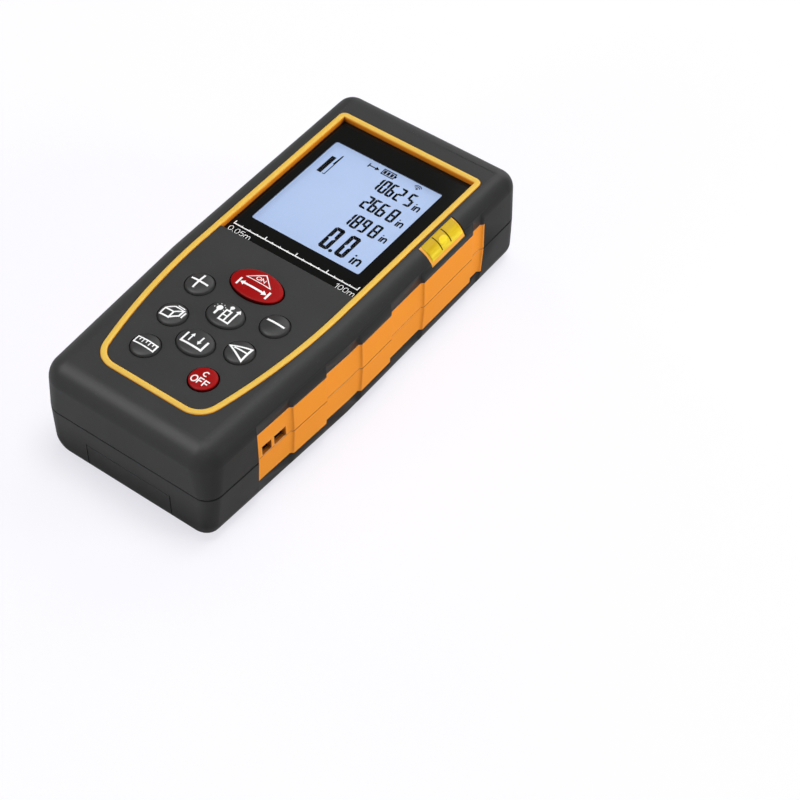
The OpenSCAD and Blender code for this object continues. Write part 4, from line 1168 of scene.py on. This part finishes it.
beam_sign = [bar(-5.4, 37.3, -5.4, 38.7, 0.35), bar(-5.2, 38.0, -3.2, 38.0, 0.32), head(-2.4, 38.0, 0, 1.05)]
cell_sign = [box_line(-1.5, 1.9, 37.4, 39.1, 0.28), bar(2.2, 37.9, 2.2, 38.6, 0.4)]
cell_sign += [block(-1.2 + i, -0.5 + i, 37.7, 38.8) for i in range(3)]
sound_sign = [disc(8.45, 38.1, 0.3, 10), ("line", arc(8.45, 38.1, 0.7, 20, 160, 8), 0.22),
              ("line", arc(8.45, 38.1, 1.15, 30, 150, 8), 0.22)]
shown = [(kind, [(x + LCD_SHIFT[0], y + LCD_SHIFT[1]) for x, y in points], width)
         for kind, points, width in figures + edge_sign + beam_sign + cell_sign + sound_sign]
print_ink("display_figures", shown, lambda x, y: LCD_FACE, BLACK_INK, "case", proud=0.03)

# %% [markdown]
# ## Spirit vial
# A yellow acrylic block is set into the right shoulder. It follows the shoulder's round, with
# an amber rim at its outer edges and a slightly raised, glossy tube that holds the bubble
# between two black lines. All of it is lofted over angle and length, so the lines can wrap
# over the tube as they do on a real level.

# %% Follow the shoulder
SHOULDER_ROUND = 5.6
SHOULDER_Z = FACE - SHOULDER_ROUND
HALF_WIDTH, WAIST_Y, TAPER, TAPER_LENGTH = 26.0, -10.0, 0.5, 66.3
TUBE_START, TUBE_END = 15.0, 61.0
TUBE_LOW, TUBE_RISE = 0.06, 0.34


def shoulder(y, turn, lift):
    """A point on the rounded shoulder, turn degrees over from the face and lifted off it."""
    t = math.radians(turn)
    side = HALF_WIDTH - TAPER * (y - WAIST_Y) / TAPER_LENGTH
    reach = SHOULDER_ROUND + lift
    return (side - SHOULDER_ROUND + reach * math.sin(t), y, SHOULDER_Z + reach * math.cos(t))


def tube_lift(turn):
    """How far the tube stands off the shoulder, highest at its middle."""
    share = min(max((turn - TUBE_START) / (TUBE_END - TUBE_START), 0.0), 1.0)
    return TUBE_LOW + TUBE_RISE * max(0.0, math.sin(math.pi * share)) ** 0.8


print("the tube stands", round(tube_lift((TUBE_START + TUBE_END) / 2), 2), "mm off the shoulder")

# %% Loft the rim and the tube
RIM_MIDDLE, TUBE_MIDDLE = 27.5, 27.7
RIM_START, RIM_END = 14.5, 72.0
TUBE_DEPTH, TUBE_SINK = 0.4, 0.3
RIM_BACK = ((24.5, 24.3), (24.5, 22.95), (21.6, 22.95))
RIM_STEPS = ((6.45, 0.16), (6.4, 0.07), (6.25, 0.0))
TUBE_STEPS = ((5.95, TUBE_SINK), (5.9, 0.12), (5.75, 0.02), (5.5, 0.0))


def both_ways(middle, steps):
    """Places along the vial, from one end over its middle to the other, with a value for each."""
    before = [(middle - far, value) for far, value in steps]
    return before + [(middle, 0.0)] + [(middle + far, value) for far, value in reversed(steps)]


def vial_frame():
    turns = evenly(RIM_START, RIM_END, 24)
    rings = []
    for y, shrink in both_ways(RIM_MIDDLE, RIM_STEPS):
        rings.append([shoulder(y, t, -shrink) for t in turns] + [(x, y, z) for x, z in RIM_BACK])
    return joined_rings(rings, cap_first=True, cap_last=True)


def vial_tube():
    turns = evenly(TUBE_START, TUBE_END, 28)
    rings = []
    for y, sink in both_ways(TUBE_MIDDLE, TUBE_STEPS):
        upper = [shoulder(y, t, tube_lift(t) * (1.0 - sink / TUBE_SINK) - sink * 0.5) for t in turns]
        rings.append(upper + [shoulder(y, t, -TUBE_DEPTH) for t in reversed(turns)])
    return joined_rings(rings, cap_first=True, cap_last=True)


print("rim", 2 * RIM_STEPS[0][0], "mm long, tube", 2 * TUBE_STEPS[0][0], "mm long")

# %% Wrap the lines and set the bubble
LINE_OFF, LINE_HALF = 1.725, 0.17
LINE_START, LINE_END = 17.0, 55.0
LINE_CORNERS = ((-1, 0.02), (1, 0.02), (1, -0.06), (-1, -0.06))
BUBBLE_Y, BUBBLE_TURN = 27.55, 38.0
BUBBLE_LONG, BUBBLE_WIDE = 1.3, 9.5
BUBBLE_RINGS = ((1.0, -0.06), (1.0, 0.005), (0.9, 0.05), (0.7, 0.085), (0.45, 0.105), (0.2, 0.112))


def vial_marks():
    form = bmesh.new()
    for middle in (RIM_MIDDLE - LINE_OFF, RIM_MIDDLE + LINE_OFF):
        rows = []
        for t in evenly(LINE_START, LINE_END, 24):
            rows.append([shoulder(middle + s * LINE_HALF, t, tube_lift(t) + lift)
                         for s, lift in LINE_CORNERS])
        lay_slab(form, rows)
    return form


def vial_air():
    rings = []
    for share, rise in BUBBLE_RINGS:
        circle = arc(0.0, 0.0, share, 0, 360, 32)[:-1]
        places = [(BUBBLE_Y + BUBBLE_LONG * u, BUBBLE_TURN + BUBBLE_WIDE * v) for u, v in circle]
        rings.append([shoulder(y, t, tube_lift(t) + rise) for y, t in places])
    return joined_rings(rings, cap_first=True, cap_last=True)


print("bubble", 2 * BUBBLE_LONG, "mm long between lines", 2 * LINE_OFF, "mm apart")

# %% Finish and place the vial
def vial_with_painted_glow(name, low, high, streak_glint, rough, glow, shaded_crest=None):
    finish, tree, shader = new_finish(name)
    streaks = noise_node(tree, stretched(tree, (1.0, 0.16, 1.0)), 900.0, 4.0, 0.6)
    grain = placed(tree, GRAIN, Pit_Size=0.5, Cloud_Size=3.5)
    colour = blended(tree, grain.outputs["Gloss"], rgb(*low), rgb(*high))
    # Painted glints: bright streaks along the vial.
    colour = blended(tree, ranged(tree, streaks, 0.0, 0.8), colour, rgb(*streak_glint))
    # Painted shade: the upward-facing top of the tube takes a darker tone.
    if shaded_crest:
        upward = sum_node(tree, "SUBTRACT", turned_to(tree, "Z"), 0.2)
        colour = blended(tree, ranged(tree, upward, 0.0, 0.75), colour, rgb(*shaded_crest))
    tree.links.new(colour, shader.inputs["Base Color"])
    # Painted glow: the weak emission keeps the yellow bright, though the vial is no lamp.
    tree.links.new(colour, shader.inputs["Emission Color"])
    shader.inputs["Emission Strength"].default_value = glow
    tree.links.new(ranged(tree, grain.outputs["Gloss"], rough, rough + 0.1), shader.inputs["Roughness"])
    bumped(tree, shader, streaks, 0.01, 0.3)
    shader.inputs["Specular IOR Level"].default_value = 0.25
    return finish


RIM = vial_with_painted_glow("vial_amber_rim", (222, 144, 44), (234, 160, 58), (242, 178, 76), rough=0.4, glow=0.05)
TUBE = vial_with_painted_glow("vial_yellow", (188, 154, 14), (218, 188, 26), (242, 222, 60), rough=0.26, glow=0.09,
                   shaded_crest=(178, 140, 16))
AIR = vial_with_painted_glow("vial_bubble_air", (218, 184, 26), (226, 196, 36), (242, 218, 58), rough=0.2, glow=0.04)
close_up("vial_frame", vial_frame(), RIM, "case", ("vial_block",), crease=40)
close_up("vial_tube", vial_tube(), TUBE, "case", ("vial_liquid",), crease=40)
close_up("vial_air", vial_air(), AIR, "case", ("vial_bubble",), crease=50)
close_up("vial_marks", vial_marks(), LINE_INK, "case", ("vial_lines",), crease=40)
clad("vial_plug", TUBE)

# %% [markdown]
# ## Laser end
# The far end carries a black bezel with two openings: a coated receiving lens and a small red
# window for the beam. The bezel is softened like the case. The lens is left as the construction
# model turned it, in clear glass, so that the dark barrel shows behind it.

# %% Metals with fine lines
def metal(name, dark, light, rough, across=(1.0, 1.0, 1.0), pitch=0.2):
    finish, tree, shader = new_finish(name)
    lines = noise_node(tree, stretched(tree, across), 1.0 / MM / pitch, 3.0)
    edge_mask = placed(tree, EDGE_WEAR_AND_HIGHLIGHT, Reach=0.2, Patchiness=2.0)
    colour = blended(tree, lines, rgb(*dark), rgb(*light))
    colour = blended(tree, sum_node(tree, "MULTIPLY", edge_mask.outputs["Mask"], 0.6), colour, rgb(245, 245, 245))
    tree.links.new(colour, shader.inputs["Base Color"])
    tree.links.new(ranged(tree, lines, *rough), shader.inputs["Roughness"])
    shader.inputs["Metallic"].default_value = 1.0
    bumped(tree, shader, lines, 0.004, 0.4)
    return finish


STEEL = metal("bright_steel", (168, 168, 170), (208, 208, 210), (0.2, 0.34))
BRASS = metal("turned_brass", (186, 148, 72), (222, 186, 104), (0.22, 0.36), across=(1.0, 8.0, 1.0))
print("metals", STEEL.name, "and", BRASS.name)

# %% Finish the optics
LENS = clear_glass("receiver_glass", (226, 240, 250), (0.0, 0.015), bend=1.52)
EMITTER = clear_glass("emitter_red_glass", (176, 40, 46), (0.0, 0.03), bend=1.5)
OPTICS = {"receiver_lens": LENS, "collimator_lens": LENS, "emitter_window": EMITTER, "lens_ring": BEZEL,
          "optics_chassis": CHASSIS, "laser_tube": BRASS, "laser_diode": BRASS, "optics_screws": STEEL,
          "detector": CHIP}
softened("optics_bezel", "optics_bezel_moulding", BEZEL)
for node, finish in OPTICS.items():
    clad(node, finish)
print("optics finished", len(OPTICS), "parts")

# %% [markdown]
# ## Battery bay
# With the door off, two cells show between a spring and a flat contact each. A bought cell has
# a printed sleeve that curls over both ends, a steel end and a small positive button. Turning a
# profile about the cell's axis gives all three, one piece for the sleeve and one for the metal.

# %% Print the sleeves
BAND_START, BAND_END = -20.2, -20.0


def sleeve_finish(name):
    finish, tree, shader = new_finish(name)
    grain = placed(tree, GRAIN, Pit_Size=0.4, Cloud_Size=6.0)
    body = blended(tree, grain.outputs["Tone"], rgb(30, 32, 36), rgb(44, 46, 52))
    tip = blended(tree, grain.outputs["Tone"], rgb(196, 148, 62), rgb(222, 176, 88))
    band = span_node(tree, one_axis(tree, object_place(tree), "Y"), BAND_START * MM, BAND_END * MM)
    tree.links.new(blended(tree, band, body, tip), shader.inputs["Base Color"])
    tree.links.new(ranged(tree, grain.outputs["Gloss"], 0.22, 0.32), shader.inputs["Roughness"])
    shader.inputs["Coat Weight"].default_value = 0.4
    return finish


SLEEVE = sleeve_finish("cell_sleeve")
print("sleeves change colour at", BAND_END, "mm")

# %% Turn the cells
SLEEVE_PROFILE = [(0.25, 4.3), (0.12, 4.7), (0.12, 5.0), (0.3, 5.2), (0.7, 5.25), (42.6, 5.25),
                  (43.05, 5.2), (43.28, 5.0), (43.3, 4.7), (43.2, 4.3)]
METAL_PROFILE = [(0.03, 3.6), (0.0, 3.9), (0.06, 4.25), (0.3, 4.4), (43.05, 4.4), (43.2, 4.2),
                 (43.25, 2.6), (43.4, 2.1), (43.9, 1.9), (44.35, 1.85), (44.48, 1.7), (44.5, 1.4)]
CELL_PIECES = (("sleeve", SLEEVE_PROFILE, SLEEVE, "cell_sleeve"), ("metal", METAL_PROFILE, STEEL, "steel"))


def turned_profile(x, z, start, way, profile, count=48):
    """Turn pairs of distance and radius about an axis along y, from start one way or the other."""
    rings = []
    for along, radius in profile:
        circle = arc(x, z, radius, 0, 360, count)[:-1]
        rings.append([(across, start + way * along, up) for across, up in circle])
    return joined_rings(rings, cap_first=True, cap_last=True)


for side, way in (("left", 1), ("right", -1)):
    low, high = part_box(f"battery_{side}")
    middle = (low + high) / 2 / MM
    start = (low if way > 0 else high).y / MM
    for part, profile, finish, slot in CELL_PIECES:
        close_up(f"cell_{side}_{part}", turned_profile(middle.x, middle.z, start, way, profile),
                 finish, "case", (f"battery_{side}",), crease=30)

# %% Finish the contacts and screws
for node in ("spring_near", "spring_far", "contact_bridge", "contact_left", "contact_right"):
    clad(node, STEEL)
softened("case_screws", "case_screws_steel", STEEL, edge=0.06)

# %% [markdown]
# ## Inside parts
# The boards, chips, keypad mat and connectors never show in the picture, but they are real
# parts that someone may open the case to see. They keep the construction model's shapes and
# take finishes of their own: green solder resist with faint tracks, matt chips, clear mat.

# %% Mix the solder resist
def solder_resist(name):
    finish, tree, shader = new_finish(name)
    tracks = tree.nodes.new("ShaderNodeTexBrick")
    tracks.inputs["Scale"].default_value = 260.0
    tracks.inputs["Mortar Size"].default_value = 0.012
    tracks.inputs["Color1"].default_value = rgb(22, 92, 52)
    tracks.inputs["Color2"].default_value = rgb(26, 104, 60)
    tracks.inputs["Mortar"].default_value = rgb(64, 146, 88)
    tree.links.new(object_place(tree), tracks.inputs["Vector"])
    grain = placed(tree, GRAIN, Pit_Size=0.4, Cloud_Size=8.0)
    clouds = sum_node(tree, "MULTIPLY", grain.outputs["Tone"], 0.25)
    colour = blended(tree, clouds, tracks.outputs["Color"], rgb(14, 60, 36))
    tree.links.new(colour, shader.inputs["Base Color"])
    tree.links.new(ranged(tree, grain.outputs["Gloss"], 0.25, 0.38), shader.inputs["Roughness"])
    bumped(tree, shader, tracks.outputs["Fac"], 0.02, 0.5)
    return finish


RESIST = solder_resist("green_solder_resist")
FLEX = moulded("flex_amber", (190, 122, 38), (208, 140, 52), (0.3, 0.4), pit=0.5, depth=0.004)
print("board finishes", RESIST.name, "and", FLEX.name)

# %% Finish the inside
INSIDE = {"main_board": RESIST, "optics_board": RESIST, "board_chips": CHIP, "buzzer": CHIP,
          "board_screws": STEEL, "snap_domes": STEEL, "keypad_mat": SILICONE, "window_gasket": SEAL,
          "lcd_backlight": WHITE_MOULDING, "lcd_connector": SEAL, "flex_cable": FLEX}
for node, finish in INSIDE.items():
    clad(node, finish)
kept = {name: part for name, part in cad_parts.items() if not part.hide_render}
bare = [name for name, part in kept.items() if not part.data.materials[0].use_nodes]
print("parts carried over", len(kept), "without a finish", bare)
